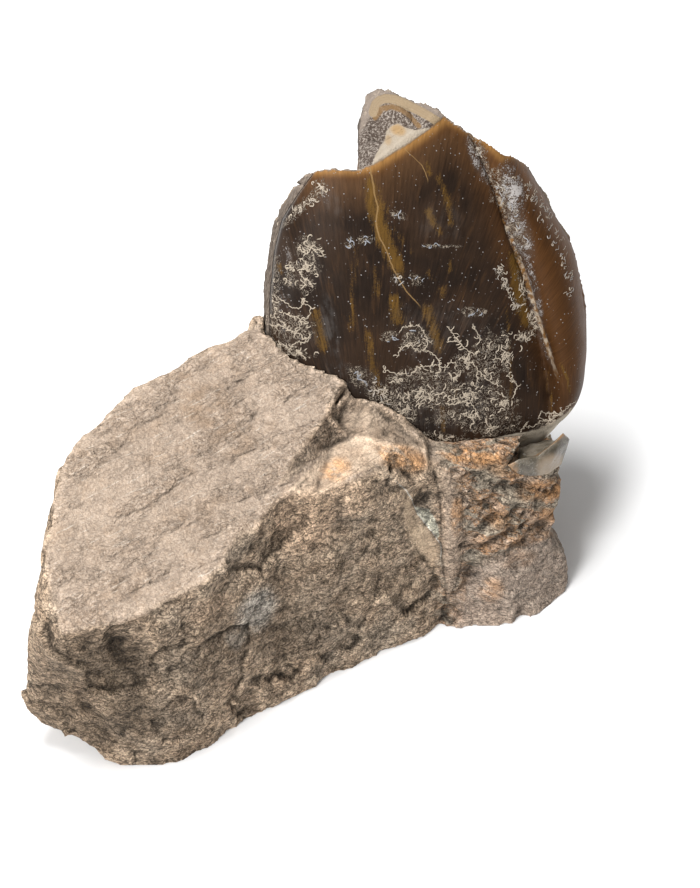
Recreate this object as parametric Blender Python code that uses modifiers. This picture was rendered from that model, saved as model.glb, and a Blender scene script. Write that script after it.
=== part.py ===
"""A fossil titanothere tooth standing in the broken block of rock that it was found in.

Three separate pieces: the rock (matrix), the tooth (crown and root, grown as one), and a nodule of
chalcedony under the crown's right edge. Lengths are in millimetres up to the last step, which scales
the finished meshes to metres. +Z is up, and the origin lies on the flat fracture that the block rests
on. The tooth's outer wall and the broken front wall of the rock face -Y.
"""

import math

import bmesh
import bpy
import numpy as np
from mathutils import Matrix, Vector, noise

MM = 0.001
ENAMEL_BROWN = (0.06, 0.03, 0.018)
ROCK_TAN = (0.55, 0.42, 0.31)
NODULE_GREY = (0.5, 0.5, 0.45)
EDGE_ANGLE = math.radians(40)
GAP = 0.3  # between pieces that touch
CUTTER_SIZE = 160

# The crown's own axes: x across its outer wall, h up from the neck and d out of the outer wall.
CROWN_FOOT = Vector((24.0, 20.3, 36.9))
CROWN_LEAN = math.radians(20)
AXIS = Vector((0, math.sin(CROWN_LEAN), math.cos(CROWN_LEAN)))
OUTWARD = Vector((0, -math.cos(CROWN_LEAN), math.sin(CROWN_LEAN)))

# Rings of the two lobes of the crown, each with the root below it:
# height, left edge, right edge, front, back (all on the crown's axes).
MAIN_LOBE = [
    (-27, -19, 15, 1, -18),
    (-12, -24, 22, 4, -21),
    (-3.5, -28.5, 29, 8, -25),
    (0, -31.5, 32, 9.4, -28),
    (4, -32.8, 32.5, 9.7, -30),
    (12, -33.8, 31, 9.6, -31),
    (21, -34, 29.5, 9.8, -31),
    (34, -32.9, 27, 10, -29),
    (42, -31.2, 24, 9.8, -27),
    (50, -28, 20.5, 9, -24),
    (60, -22.5, 16, 7.6, -21),
    (74, -15, 8, 5, -17),
]
RIGHT_LOBE = [
    (-24.5, 5, 15, -8, -17),
    (-12, 11, 22, -5, -20),
    (-3.5, 19, 27.5, -1, -22),
    (0, 23, 30.6, 2.5, -24),
    (4, 24, 33, 4.6, -26),
    (10, 23.5, 33.8, 6, -27),
    (23, 20, 33, 7.5, -27),
    (36, 15.8, 29.8, 7.6, -26),
    (43, 13.3, 25.8, 7, -25),
    (50, 11, 21.8, 6, -24),
    (62, 5.5, 15, 5, -21),
    (72, 1, 9, 3, -17),
]
MAIN_SWEEP = 0.2  # how far each lobe falls back to both sides of the front's ridge, per millimetre
RIGHT_SWEEP = 0.1
FRONT_RIDGE = -16
RIDGE_WIDTH = 5
SWEEP_REACH = 12
RING_POINTS = 64
RING_SAMPLES = 2880
RING_STEP = 3
MAIN_SQUARENESS = (7, 2.6)  # of the ring's left and right ends; 2 is an ellipse
RIGHT_LOBE_SQUARENESS = (2, 2.2)
TOOTH_TRIANGLES = 3600

# Planes across the crown: height at x = d = 0, rise per x, rise per d.
WORN_FACE = (67.9, 0.6, -0.32)
RIGHT_FLANK = (65.2, -0.6, 0.6)
RIGHT_STEP = (50.8, 0.39, 0.6)
CUSP_BACK = (66.7, -1.32, 0.71)
WING_TOP = (48.2, -0.12, 0.7)
WING_SHOULDER = (92, 1.5, 0.3)
BASIN_WALL = (90, 0, 6)
BASIN_FLOOR = (44, 0, 0.25)
CUSP_REAR = (121, 0, 3)
REAR_SLOPE = (58, 0, 0.9)
WING_EDGE = -14.3  # x of the cusp's left wall
PIT_PLACE = (-8.5, 63.2, -1)
PIT_RADII = (5.4, 4.2, 5)

# The rock is a union of convex chunks, each given by its corners.
ROCK_CHUNKS = {
    # The big left block with the pale flat top.
    "slab": [
        (-46.5, -44.5, 37.5), (-40, -42, 38.2), (-34, -41, 38.6), (-30, -39.5, 38), (-23.5, -34.5, 39),
        (-18, -29.4, 40.4), (-13.3, -23, 42.2), (-9, -17.5, 43.9), (-5.1, -13.1, 45.1), (-0.1, -3.2, 48.3),
        (3, 3, 50.4), (3, 7.3, 52.1), (7.8, 13.4, 53.8), (-2, 19, 57), (-8.6, 22, 59.3),
        (-13.3, 22.3, 60), (-19.2, 18.3, 59.2), (-27, 12, 57.7), (-35.8, 8.3, 57.4), (-39.5, 2.2, 55.4),
        (-44, -4.6, 53.4), (-48.6, -9.2, 52.1), (-50.2, -15.5, 49.9), (-50.3, -21.6, 47.5),
        (-50.2, -29.6, 44.4), (-49.5, -34.4, 42.4),
        (-53, -36, 31), (-55, -36, 23), (-57, -35, 14), (-56.5, -35, 8.5), (-53, -36, 5),
        (-35.5, -41.5, -2), (-31.7, -42.3, -2), (-25.4, -41.5, -2), (-6.3, -24.4, -2), (-5.8, -18, 30),
        (-50, -14, 8), (-45, 4, 12), (-40, 18, 20), (-32, 32, -2), (-14, 42, 20), (0, 46, -2),
        (8, 16, 22), (2, -2, -2), (2, 30, 48),
    ],
    # The front right block, whose top is a step below the slab's.
    "block": [
        (-6.3, -24.4, -2), (8, -11.5, -2), (24.8, -3.2, -2), (28.1, 0, 6.6), (27, 1.5, 15.5),
        (24.3, 0, 17.5),
        (20, -1, 30.8), (18.1, -1, 37.1), (20.3, 0, 37.1), (24, 2, 39.7), (23.2, 5.5, 42), (17.4, 4, 44.3),
        (14.4, 3, 45.5), (14.8, -0.5, 43.9), (8, -3.5, 44.7), (4, -7.5, 43.4), (0.5, -11, 44.1),
        (-5.1, -13.1, 45.1), (-5.5, -10.3, 46.2), (0.1, -4, 46.2), (4.6, 4.1, 45), (7.8, 7, 44.4),
        (-4, 20, 44), (24, 20, 38), (24, 30, -2), (-6, 20, -2),
    ],
    # The small lit ledge against the crown.
    "ledge": [
        (7.8, 13, 51.3), (12.1, 12.4, 49.7), (15.5, 11.9, 48.3), (19, 10, 44.6), (23.9, 8.6, 41.5),
        (23.7, 7.8, 40.3), (17.6, 7.7, 41.5), (12.9, 7.6, 42.3), (7.2, 8.6, 44.9), (5.2, 9.5, 46.8),
        (8, 9, 34), (24, 9, 34), (4, 24, 50), (20, 26, 42), (20, 26, 30), (4, 24, 30),
    ],
    # The rusty rock round the root, above its lower step.
    "root_top": [
        (24.5, 4.5, 39), (25, 3.5, 35), (27, 2.5, 27), (27, 3, 17), (28, 2, 8), (32, 7, 39.2), (38, 9, 38.4),
        (47, 13, 37), (51, 15, 34.5), (40, 7.5, 31.5), (47, 10, 28), (52.5, 15, 27), (52, 13, 20),
        (51.6, 12, 14), (35, 2.5, 20), (42, 4, 18), (48, 36, 33), (44, 52, 30), (24, 56, 34), (0, 48, 38),
        (-12, 42, 36), (50, 34, 8), (44, 52, 8), (-14, 44, 8), (0, 20, 8), (24, 12, 39.4), (6, 30, 40),
    ],
    # The lower step, which stands out on the right.
    "root_foot": [
        (26, -2, -2), (40.7, -2.6, -2), (45.3, 0.5, -2), (49.8, 3.5, -2), (53.5, 7.5, -2), (55.5, 11, 1),
        (55.2, 11, 5), (53, 11, 9), (51, 11, 14), (38, 2.5, 17), (30, 1, 12), (28, 0, 6), (40, -1, 8),
        (50, 44, -2), (40, 54, -2), (10, 56, -2), (-18, 45, -2), (-14, 44, 14), (10, 54, 14), (46, 46, 12),
        (10, 14, -2),
    ],
    # The scrap of rock that shows past the crown's left edge.
    "scrap": [
        (-12.4, 23, 56), (-5, 24, 56), (-11.6, 25.5, 60.4), (-7, 27.5, 61.4), (-5, 32, 56), (-12, 30, 56),
    ],
    # The tongue that runs down the seam between the two.
    "tongue": [
        (24.2, 3.5, 39), (27, 2.5, 35), (27.5, 0.5, 28), (31, 1.8, 22.5), (31.2, 1.2, 16), (30.2, 0.3, 10.5),
        (28.6, -1, 7), (26.8, 1.2, 12), (26.6, 1, 20), (28, 8, 34), (30, 8, 10), (24, 8, 34), (24, 8, 10),
    ],
}
# The nodule of chalcedony between the crown's edge and the rock.
NODULE = [
    (40, 8, 36), (42.6, 8.2, 37.6), (46.5, 11.5, 38), (50, 15, 38), (51.5, 16, 38.6), (53.8, 17, 35.5),
    (53.2, 17, 33.2), (52.2, 15.5, 29.6), (49, 11, 30.8), (45.2, 8.4, 32.6), (42.5, 7.5, 33.6),
    (50, 11.5, 35.4), (47, 9.5, 34.5), (44, 20, 36), (50, 24, 34), (48, 22, 30), (42, 16, 33),
]
# The hollow under the block's left end, which stands clear of the ground.
UNDERCUT = [
    (-62, -60, 9.5), (-41, -60, 4.5), (-33, -60, -6), (-62, -60, -6),
    (-62, -22, 6), (-44, -26, 2.5), (-39, -26, -6), (-62, -22, -6),
]
# Hollows and swellings of the rock: place, radius, depth.
HOLLOWS = [
    ((-35, -44, 27), 9, 3),
    ((-42, -41, 12), 9, 1.5),
    ((-15.8, 2.5, 52.6), 16, 1.1),
    ((-52, -22, 36), 8, 1.5),
    ((22, 2.5, 32), 3.5, 4),
    ((33, 1, 12.5), 4, 2),
]
# Where the broken faces are plain and keep crisp edges: place, radius, share of the relief left out.
CALM_PLACES = [
    ((14, 6, 46), 13, 0.85),
    ((-4, -4, 46), 9, 0.6),
]
# Broken layers: the way that they stack, thickness, height of their steps.
WALL_LAYERS = (Vector((0.05, 0, 1)), 9, 0.7)
ROOT_LAYERS = (Vector((-0.3, 0, 0.95)), 7.5, 2.0)
LAYER_WAVE = (1.6, 11)  # height in layers, size
LAYER_PATCHES = (13, -0.25, 0.35)  # size of the patches with and without steps, and their edges
STEP_BACK = 0.8  # share of a layer where its face turns back
# Rough lumps: height on the flat top, on the walls and round the root.
TOP_RELIEF = 0.45
WALL_RELIEF = 1.0
ROOT_RELIEF = 1.0
LUMP_SIZE = 9
ROOT_SIDE = (24, 30)  # x where the root's rock begins
ROOT_FRONT = (20, 34)  # y where its steps fade out
TOP_SLOPES = (0.6, 0.85)  # upward share of the normal on walls and on the top
ROCK_VOXEL = 1.0
ROCK_TRIANGLES = 5200


def clear_scene():
    for old in list(bpy.data.objects):
        bpy.data.objects.remove(old)


def new_object(name, mesh, collection):
    made = bpy.data.objects.new(name, mesh)
    collection.objects.link(made)
    return made


def add_material(piece, colour, roughness):
    material = bpy.data.materials.new(piece.name)
    material.use_nodes = True
    shader = material.node_tree.nodes["Principled BSDF"]
    shader.inputs["Base Color"].default_value = (*colour, 1)
    shader.inputs["Roughness"].default_value = roughness
    shader.inputs["Metallic"].default_value = 0
    piece.data.materials.clear()
    piece.data.materials.append(material)


def hull(name, corners, collection):
    """The convex solid round some corners."""
    bm = bmesh.new()
    for corner in corners:
        bm.verts.new(corner)
    bmesh.ops.convex_hull(bm, input=bm.verts)
    bmesh.ops.delete(bm, geom=[v for v in bm.verts if not v.link_faces], context="VERTS")
    bmesh.ops.recalc_face_normals(bm, faces=bm.faces)
    mesh = bpy.data.meshes.new(name)
    bm.to_mesh(mesh)
    bm.free()
    return new_object(name, mesh, collection)


def apply_modifiers(target):
    graph = bpy.context.evaluated_depsgraph_get()
    mesh = bpy.data.meshes.new_from_object(target.evaluated_get(graph))
    target.modifiers.clear()
    target.data = mesh


def boolean(target, other, operation):
    modifier = target.modifiers.new(operation.title(), "BOOLEAN")
    modifier.operation = operation
    modifier.object = other
    apply_modifiers(target)
    bpy.data.objects.remove(other)


def decimate(target, triangles):
    modifier = target.modifiers.new("Decimate", "DECIMATE")
    corners = sum(len(face.vertices) - 2 for face in target.data.polygons)
    modifier.ratio = min(triangles / corners, 1)
    apply_modifiers(target)


def smooth_ring(rings, height):
    """The ring at any height, on a smooth curve through the given rings."""
    table = np.array(rings, float)
    at = np.clip(np.searchsorted(table[:, 0], height) - 1, 0, len(table) - 2)
    share = (height - table[at, 0]) / (table[at + 1, 0] - table[at, 0])
    slope = np.gradient(table[:, 1:], table[:, 0], axis=0)
    span = table[at + 1, 0] - table[at, 0]
    low, high = table[at, 1:], table[at + 1, 1:]
    s2, s3 = share**2, share**3
    return (
        (2 * s3 - 3 * s2 + 1) * low
        + (s3 - 2 * s2 + share) * span * slope[at]
        + (3 * s2 - 2 * s3) * high
        + (s3 - s2) * span * slope[at + 1]
    )


def crown_place(x, h, d):
    return CROWN_FOOT + Vector((x, 0, 0)) + AXIS * h + OUTWARD * d


def ring_points(width, depth, squareness):
    """Evenly spaced points on a rounded square; its left and right ends can differ."""
    angle = np.linspace(0, 2 * math.pi, RING_SAMPLES + 1)
    c, s = np.cos(angle), np.sin(angle)
    power = 2 / np.where(c < 0, squareness[0], squareness[1])
    x = width * np.copysign(np.abs(c) ** power, c)
    y = depth * np.copysign(np.abs(s) ** power, s)
    along = np.concatenate(([0], np.cumsum(np.hypot(np.diff(x), np.diff(y)))))
    even = np.linspace(0, along[-1], RING_POINTS, endpoint=False)
    return zip(np.interp(even, along, x), np.interp(even, along, y))


def lobe(name, rings, sweep, squareness, collection):
    """A lofted lobe: rounded-square rings stacked up the crown's axis."""
    bottom, top = rings[0][0], rings[-1][0]
    count = round((top - bottom) / RING_STEP)
    bm = bmesh.new()
    loops = []
    for step in range(count + 1):
        height = bottom + (top - bottom) * step / count
        left, right, front, back = smooth_ring(rings, height)
        middle_x, middle_d = (left + right) / 2, (front + back) / 2
        loop = []
        for across, out in ring_points((right - left) / 2, (front - back) / 2, squareness):
            x = middle_x + across
            d = middle_d + out - sweep * (math.hypot(x - FRONT_RIDGE, RIDGE_WIDTH) - SWEEP_REACH)
            loop.append(bm.verts.new(crown_place(x, height, d)))
        loops.append(loop)
    for lower, upper in zip(loops, loops[1:]):
        for i in range(RING_POINTS):
            j = (i + 1) % RING_POINTS
            bm.faces.new((lower[i], lower[j], upper[j], upper[i]))
    bm.faces.new(loops[0])
    bm.faces.new(loops[-1])
    bmesh.ops.triangulate(bm, faces=bm.faces)
    bmesh.ops.recalc_face_normals(bm, faces=bm.faces)
    mesh = bpy.data.meshes.new(name)
    bm.to_mesh(mesh)
    bm.free()
    return new_object(name, mesh, collection)


def above_planes(name, left, right, planes, collection):
    """The part of a tall block between two x that lies above all of some planes across the crown."""
    bm = bmesh.new()
    bmesh.ops.create_cube(bm, size=1)
    bmesh.ops.scale(bm, vec=(right - left, CUTTER_SIZE, CUTTER_SIZE), verts=bm.verts)
    bmesh.ops.translate(bm, vec=((left + right) / 2, 0, CUTTER_SIZE / 2), verts=bm.verts)
    for height, rise_x, rise_d in planes:
        everything = bm.verts[:] + bm.edges[:] + bm.faces[:]
        normal = (-rise_x, -rise_d, 1)
        bmesh.ops.bisect_plane(
            bm, geom=everything, plane_co=(0, 0, height), plane_no=normal, clear_inner=True
        )
    corners = [crown_place(v.co.x, v.co.z, v.co.y) for v in bm.verts]
    bm.free()
    return hull(name, corners, collection)


def pit(collection):
    """The hollow in the worn face."""
    bm = bmesh.new()
    bmesh.ops.create_icosphere(bm, subdivisions=3, radius=1)
    for v in bm.verts:
        x, h, d = (centre + part * size for centre, part, size in zip(PIT_PLACE, v.co, PIT_RADII))
        v.co = crown_place(x, h, d)
    bmesh.ops.recalc_face_normals(bm, faces=bm.faces)
    mesh = bpy.data.meshes.new("pit")
    bm.to_mesh(mesh)
    bm.free()
    return new_object("pit", mesh, collection)


def make_tooth(pieces, cutters):
    tooth = lobe("tooth", MAIN_LOBE, MAIN_SWEEP, MAIN_SQUARENESS, pieces)
    right_lobe = lobe("right_lobe", RIGHT_LOBE, RIGHT_SWEEP, RIGHT_LOBE_SQUARENESS, cutters)
    boolean(tooth, right_lobe, "UNION")
    far = CUTTER_SIZE / 2
    cuts = {
        "worn_face": (WING_EDGE, far, [WORN_FACE]),
        "right_flank": (-far, far, [RIGHT_FLANK, RIGHT_STEP, CUSP_BACK]),
        "cusp_rear": (-far, far, [CUSP_REAR, REAR_SLOPE]),
        "wing_top": (-far, WING_EDGE, [WING_TOP]),
        "wing_shoulder": (-far, WING_EDGE, [WING_SHOULDER]),
        "basin": (-far, WING_EDGE, [BASIN_WALL, BASIN_FLOOR]),
    }
    for name, (left, right, planes) in cuts.items():
        boolean(tooth, above_planes(name, left, right, planes, cutters), "DIFFERENCE")
    boolean(tooth, pit(cutters), "DIFFERENCE")
    decimate(tooth, TOOTH_TRIANGLES)
    return tooth


def strata(point, dip, thickness):
    """A saw-tooth of broken layers, from -0.5 to 0.5, that comes and goes in patches."""
    wave, wave_size = LAYER_WAVE
    patch_size, bare, stepped = LAYER_PATCHES
    rise = (point.dot(dip) / thickness + wave * noise.noise(point / wave_size)) % 1
    strength = smooth_share(noise.noise(point / patch_size), bare, stepped)
    if rise > STEP_BACK:
        rise = STEP_BACK * (1 - rise) / (1 - STEP_BACK)
    return strength * (rise / STEP_BACK - 0.5)


def rock_relief(point, normal):
    """How far the broken rock stands out of its plain chunks at a point, in millimetres."""
    root_side = smooth_share(point.x, *ROOT_SIDE) * (1 - smooth_share(point.y, *ROOT_FRONT))
    flatness = smooth_share(normal.z, *TOP_SLOPES) * (1 - root_side)
    wall = (1 - flatness) * (1 - root_side)
    relief = TOP_RELIEF * flatness + WALL_RELIEF * wall + ROOT_RELIEF * root_side
    height = relief * noise.fractal(point / LUMP_SIZE, 0.9, 2.1, 4)
    for share, (dip, thickness, step) in ((wall, WALL_LAYERS), (root_side, ROOT_LAYERS)):
        height += share * step * strata(point, dip, thickness)
    for place, radius, left_out in CALM_PLACES:
        height *= 1 - left_out * math.exp(-((point - Vector(place)).length / radius) ** 2)
    for place, radius, depth in HOLLOWS:
        height -= depth * math.exp(-((point - Vector(place)).length / radius) ** 2)
    return height


def smooth_share(value, low, high):
    share = min(max((value - low) / (high - low), 0), 1)
    return share * share * (3 - 2 * share)


def make_matrix(pieces, cutters):
    slab, *others = ROCK_CHUNKS
    matrix = hull("matrix", ROCK_CHUNKS[slab], pieces)
    for name in others:
        boolean(matrix, hull(name, ROCK_CHUNKS[name], cutters), "UNION")
    boolean(matrix, hull("undercut", UNDERCUT, cutters), "DIFFERENCE")
    remesh = matrix.modifiers.new("Remesh", "REMESH")
    remesh.mode = "VOXEL"
    remesh.voxel_size = ROCK_VOXEL
    apply_modifiers(matrix)
    matrix.data.update()
    shifts = [v.normal * rock_relief(v.co, v.normal) for v in matrix.data.vertices]
    for vertex, shift in zip(matrix.data.vertices, shifts):
        vertex.co += shift
    decimate(matrix, ROCK_TRIANGLES)
    return matrix


def grown(piece, collection):
    """A copy of a piece, a gap larger all round, to cut its pocket with."""
    copy = new_object("pocket_of_" + piece.name, piece.data.copy(), collection)
    swell = copy.modifiers.new("Swell", "DISPLACE")
    swell.strength = GAP
    swell.mid_level = 0
    return copy


def main():
    clear_scene()
    pieces = bpy.data.collections.new("titanothere_tooth")
    cutters = bpy.data.collections.new("cutters")
    for group in (pieces, cutters):
        bpy.context.scene.collection.children.link(group)
    tooth = make_tooth(pieces, cutters)
    matrix = make_matrix(pieces, cutters)
    far = CUTTER_SIZE / 2
    below = hull("below", [(x, y, z) for x in (-far, far) for y in (-far, far) for z in (-far, 0)], cutters)
    boolean(matrix, below, "DIFFERENCE")
    boolean(matrix, grown(tooth, cutters), "DIFFERENCE")
    nodule = hull("chalcedony", NODULE, pieces)
    boolean(nodule, grown(tooth, cutters), "DIFFERENCE")
    boolean(matrix, grown(nodule, cutters), "DIFFERENCE")
    finishes = ((tooth, ENAMEL_BROWN, 0.25), (matrix, ROCK_TAN, 0.9), (nodule, NODULE_GREY, 0.2))
    for piece, colour, roughness in finishes:
        add_material(piece, colour, roughness)
        piece.data.transform(Matrix.Scale(MM, 4))
    tooth.data.shade_smooth()
    tooth.data.set_sharp_from_angle(angle=EDGE_ANGLE)


main()
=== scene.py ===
"""The looks of a fossil titanothere tooth that stands in the rock it was found in.

Each CAD solid is copied, remeshed finely, given the relief of the real surface and painted with masks,
which are stored on its points. Procedural materials turn the masks into enamel, rock and chalcedony.
Lengths are in millimetres until a mesh is handed to Blender, and places on the photograph in pixels.
"""

import math
from itertools import product
from types import SimpleNamespace

import bmesh
import bpy
import numpy as np
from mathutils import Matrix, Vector
from mathutils.bvhtree import BVHTree
from mathutils.kdtree import KDTree


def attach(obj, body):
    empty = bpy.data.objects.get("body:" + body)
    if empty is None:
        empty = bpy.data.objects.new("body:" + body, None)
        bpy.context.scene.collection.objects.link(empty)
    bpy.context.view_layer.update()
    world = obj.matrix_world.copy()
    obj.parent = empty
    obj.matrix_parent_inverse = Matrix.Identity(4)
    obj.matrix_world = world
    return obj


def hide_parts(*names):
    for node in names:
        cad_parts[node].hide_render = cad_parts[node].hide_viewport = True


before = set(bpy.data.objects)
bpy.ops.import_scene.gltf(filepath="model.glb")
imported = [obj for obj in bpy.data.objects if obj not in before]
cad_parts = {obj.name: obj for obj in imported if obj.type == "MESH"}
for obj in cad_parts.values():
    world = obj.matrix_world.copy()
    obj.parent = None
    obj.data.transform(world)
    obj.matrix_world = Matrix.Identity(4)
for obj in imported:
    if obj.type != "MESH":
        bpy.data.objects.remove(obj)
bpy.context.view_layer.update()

MM = 0.001

# The camera, whose picture is 700 x 888.
PICTURE = (700, 888)
LENS = 100
SENSOR = 36
ELEVATION = math.radians(40)
TARGET = np.array([8.0, 2.0, 46.8])
DISTANCE = 493.33
FORWARD = np.array([0, math.cos(ELEVATION), -math.sin(ELEVATION)])
UP = np.array([0, math.sin(ELEVATION), math.cos(ELEVATION)])
RIGHT = np.array([1.0, 0, 0])
EYE = TARGET - DISTANCE * FORWARD
FOCUS = PICTURE[1] * LENS / SENSOR  # in pixels
PIXEL = 0.2  # millimetres to a pixel, at the target

# The crown's own axes: x across its outer wall, h up from the neck and d out of the outer wall.
CROWN_FOOT = np.array([24.0, 20.3, 36.9])
CROWN_LEAN = math.radians(20)
AXIS = np.array([0, math.sin(CROWN_LEAN), math.cos(CROWN_LEAN)])
OUTWARD = np.array([0, -math.cos(CROWN_LEAN), math.sin(CROWN_LEAN)])

# Masks that are drawn on the picture stop where a point's share of being seen falls below this. What the
# camera doesn't see counts as far outside every outline and far beside every line, in millimetres.
SEEN_FROM = 0.3
UNSEEN_DEPTH = -9
UNSEEN_OFFSET = 50

TOOTH_VOXEL = 0.49
ROCK_VOXEL = 0.66
NODULE_VOXEL = 0.3


# ---------------------------------------------------------------- numbers and places


def share(values, low, high):
    """A smooth step from 0 at low to 1 at high."""
    part = np.clip((np.asarray(values, float) - low) / (high - low), 0, 1)
    return part * part * (3 - 2 * part)


def blend(low, high, part):
    return low + (high - low) * part


class Grain:
    """Seeded gradient noise, about -1 to 1, on points in millimetres."""

    def __init__(self, seed):
        random = np.random.default_rng(seed)
        self.order = random.permutation(256)
        slopes = random.normal(size=(256, 3))
        self.slopes = slopes / np.linalg.norm(slopes, axis=1)[:, None]

    def plain(self, points):
        cell = np.floor(points).astype(int)
        part = points - cell
        fade = part**3 * (part * (part * 6 - 15) + 10)
        total = np.zeros(len(points))
        for corner in product((0, 1), repeat=3):
            x, y, z = (cell + corner).T & 255
            index = self.order[(self.order[(self.order[x] + y) & 255] + z) & 255]
            weight = np.prod(np.where(corner, fade, 1 - fade), axis=1)
            total += weight * np.einsum("ij,ij->i", self.slopes[index], part - corner)
        return total * 1.7

    def layered(self, points, size, octaves, fall, shift, shape):
        """Ever finer noise added up, each size with its own shift."""
        total, most, scale = 0, 0, 1
        for octave in range(octaves):
            total = total + scale * shape(self.plain(points / size + shift * octave))
            most += scale
            scale *= fall
            size /= 2.03
        return total / most

    def fractal(self, points, size, octaves=4, fall=0.5):
        return self.layered(points, size, octaves, fall, 17.3, np.asarray)

    def billows(self, points, size, octaves):
        """Rounded lumps between sharp creases, from 0 to 1."""
        return self.layered(points, size, octaves, 0.5, 5.1, np.abs)


def on_picture(points):
    """The pixel at which the camera sees each point."""
    seen = points - EYE
    depth = seen @ FORWARD
    u = PICTURE[0] / 2 + FOCUS * (seen @ RIGHT) / depth
    v = PICTURE[1] / 2 - FOCUS * (seen @ UP) / depth
    return u, v


def sight_line(u, v):
    """The direction in which the camera sees a pixel."""
    line = FORWARD + RIGHT * (u - PICTURE[0] / 2) / FOCUS + UP * (PICTURE[1] / 2 - v) / FOCUS
    return line / np.linalg.norm(line)


def sights(points):
    """The direction in which the camera sees each point."""
    lines = points - EYE
    return lines / np.linalg.norm(lines, axis=1)[:, None]


def turn(degrees):
    """The cosine and sine of an angle."""
    return math.cos(math.radians(degrees)), math.sin(math.radians(degrees))


def in_crown(points):
    """x, h and d of each point."""
    local = points - CROWN_FOOT
    return local[:, 0], local @ AXIS, local @ OUTWARD


def ellipses(u, v, places, fall):
    """The strongest of some ellipses: place, half sizes, tilt in degrees, strength."""
    result = np.zeros(len(u))
    for (centre_u, centre_v), (half_u, half_v), tilt, strength in places:
        c, s = turn(tilt)
        along = (c * (u - centre_u) + s * (v - centre_v)) / half_u
        across = (c * (v - centre_v) - s * (u - centre_u)) / half_v
        result = np.maximum(result, strength * fall(np.hypot(along, across)))
    return result


def blobs(u, v, places):
    """Ellipses with a soft edge."""
    return ellipses(u, v, places, lambda far: 1 - share(far, 0.55, 1.15))


def hills(u, v, places):
    """Ellipses that fall away evenly from their middles."""
    return ellipses(u, v, places, lambda far: np.exp(-0.9 * far**2))


def run_along(corners):
    """How far along a line each of its corners lies."""
    lengths = np.linalg.norm(np.diff(corners, axis=0), axis=1)
    return np.concatenate([[0], np.cumsum(lengths)])


def nearest_line(u, v, corners):
    """Each pixel's distance from a line through some corners, its share of the way along the line, and its
    side: 1 to the left of the line, seen along it, and -1 to the right."""
    corners = np.array(corners, float)
    ways = np.diff(corners, axis=0)
    runs = run_along(corners)
    best, along, side = np.full(len(u), 1e9), np.zeros(len(u)), np.zeros(len(u))
    for corner, way, length, run in zip(corners, ways, np.diff(runs), runs):
        off_u, off_v = u - corner[0], v - corner[1]
        part = np.clip((off_u * way[0] + off_v * way[1]) / length**2, 0, 1)
        far = np.hypot(off_u - part * way[0], off_v - part * way[1])
        nearer = far < best
        along = np.where(nearer, (run + part * length) / runs[-1], along)
        side = np.where(nearer, np.sign(way[1] * off_u - way[0] * off_v), side)
        best = np.minimum(best, far)
    return best, along, side


def distance_from(u, v, corners):
    """How far each pixel lies from a line, in millimetres."""
    return PIXEL * nearest_line(u, v, corners)[0]


def offset_from(u, v, corners):
    """How far each pixel lies to the left of a line, in millimetres; below 0 to its right."""
    far, _, side = nearest_line(u, v, corners)
    return PIXEL * far * side


def streaks(u, v, lines):
    """The strongest of some soft lines: corners, half width, strength."""
    result = np.zeros(len(u))
    for corners, width, strength in lines:
        far, along, _ = nearest_line(u, v, corners)
        ends = share(along, -0.05, 0.15) * (1 - share(along, 0.8, 1.05))
        result = np.maximum(result, strength * ends * (1 - share(far, 0, width * 2)))
    return result


def inside(u, v, outline):
    """How deep each pixel lies inside an outline, in millimetres; below 0 outside it."""
    far = distance_from(u, v, outline + outline[:1])
    within = np.zeros(len(u), bool)
    for (u0, v0), (u1, v1) in zip(outline, outline[1:] + outline[:1]):
        crosses = (v0 > v) != (v1 > v)
        if v0 != v1:
            within ^= crosses & (u < u0 + (v - v0) * (u1 - u0) / (v1 - v0))
    return np.where(within, far, -far)


def beside(u, v, corners):
    """How far each pixel lies to the right of a line that runs down the picture, in millimetres."""
    across, down = zip(*corners)
    return PIXEL * (u - np.interp(v, down, across))


# ---------------------------------------------------------------- meshes


def placed(name, data):
    """A new object in the scene."""
    thing = bpy.data.objects.new(name, data)
    bpy.context.scene.collection.objects.link(thing)
    return thing


def read(rows, field, width, kind=np.float32):
    """A field of a mesh's rows."""
    flat = np.zeros(len(rows) * width, kind)
    rows.foreach_get(field, flat)
    return flat.reshape(-1, width)


def nearest_of(centres, places):
    """For each place, which centre is nearest and how far it is."""
    tree = KDTree(len(centres))
    for index, centre in enumerate(centres):
        tree.insert(centre, index)
    tree.balance()
    found = [tree.find(place)[1:] for place in places]
    return np.array([index for index, _ in found]), np.array([far for _, far in found])


def dipped(points, degrees):
    """Points in axes of layers that rise to the right by an angle."""
    c, s = turn(degrees)
    return points @ np.array([[c, 0, -s], [0, 1, 0], [s, 0, c]])


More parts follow.
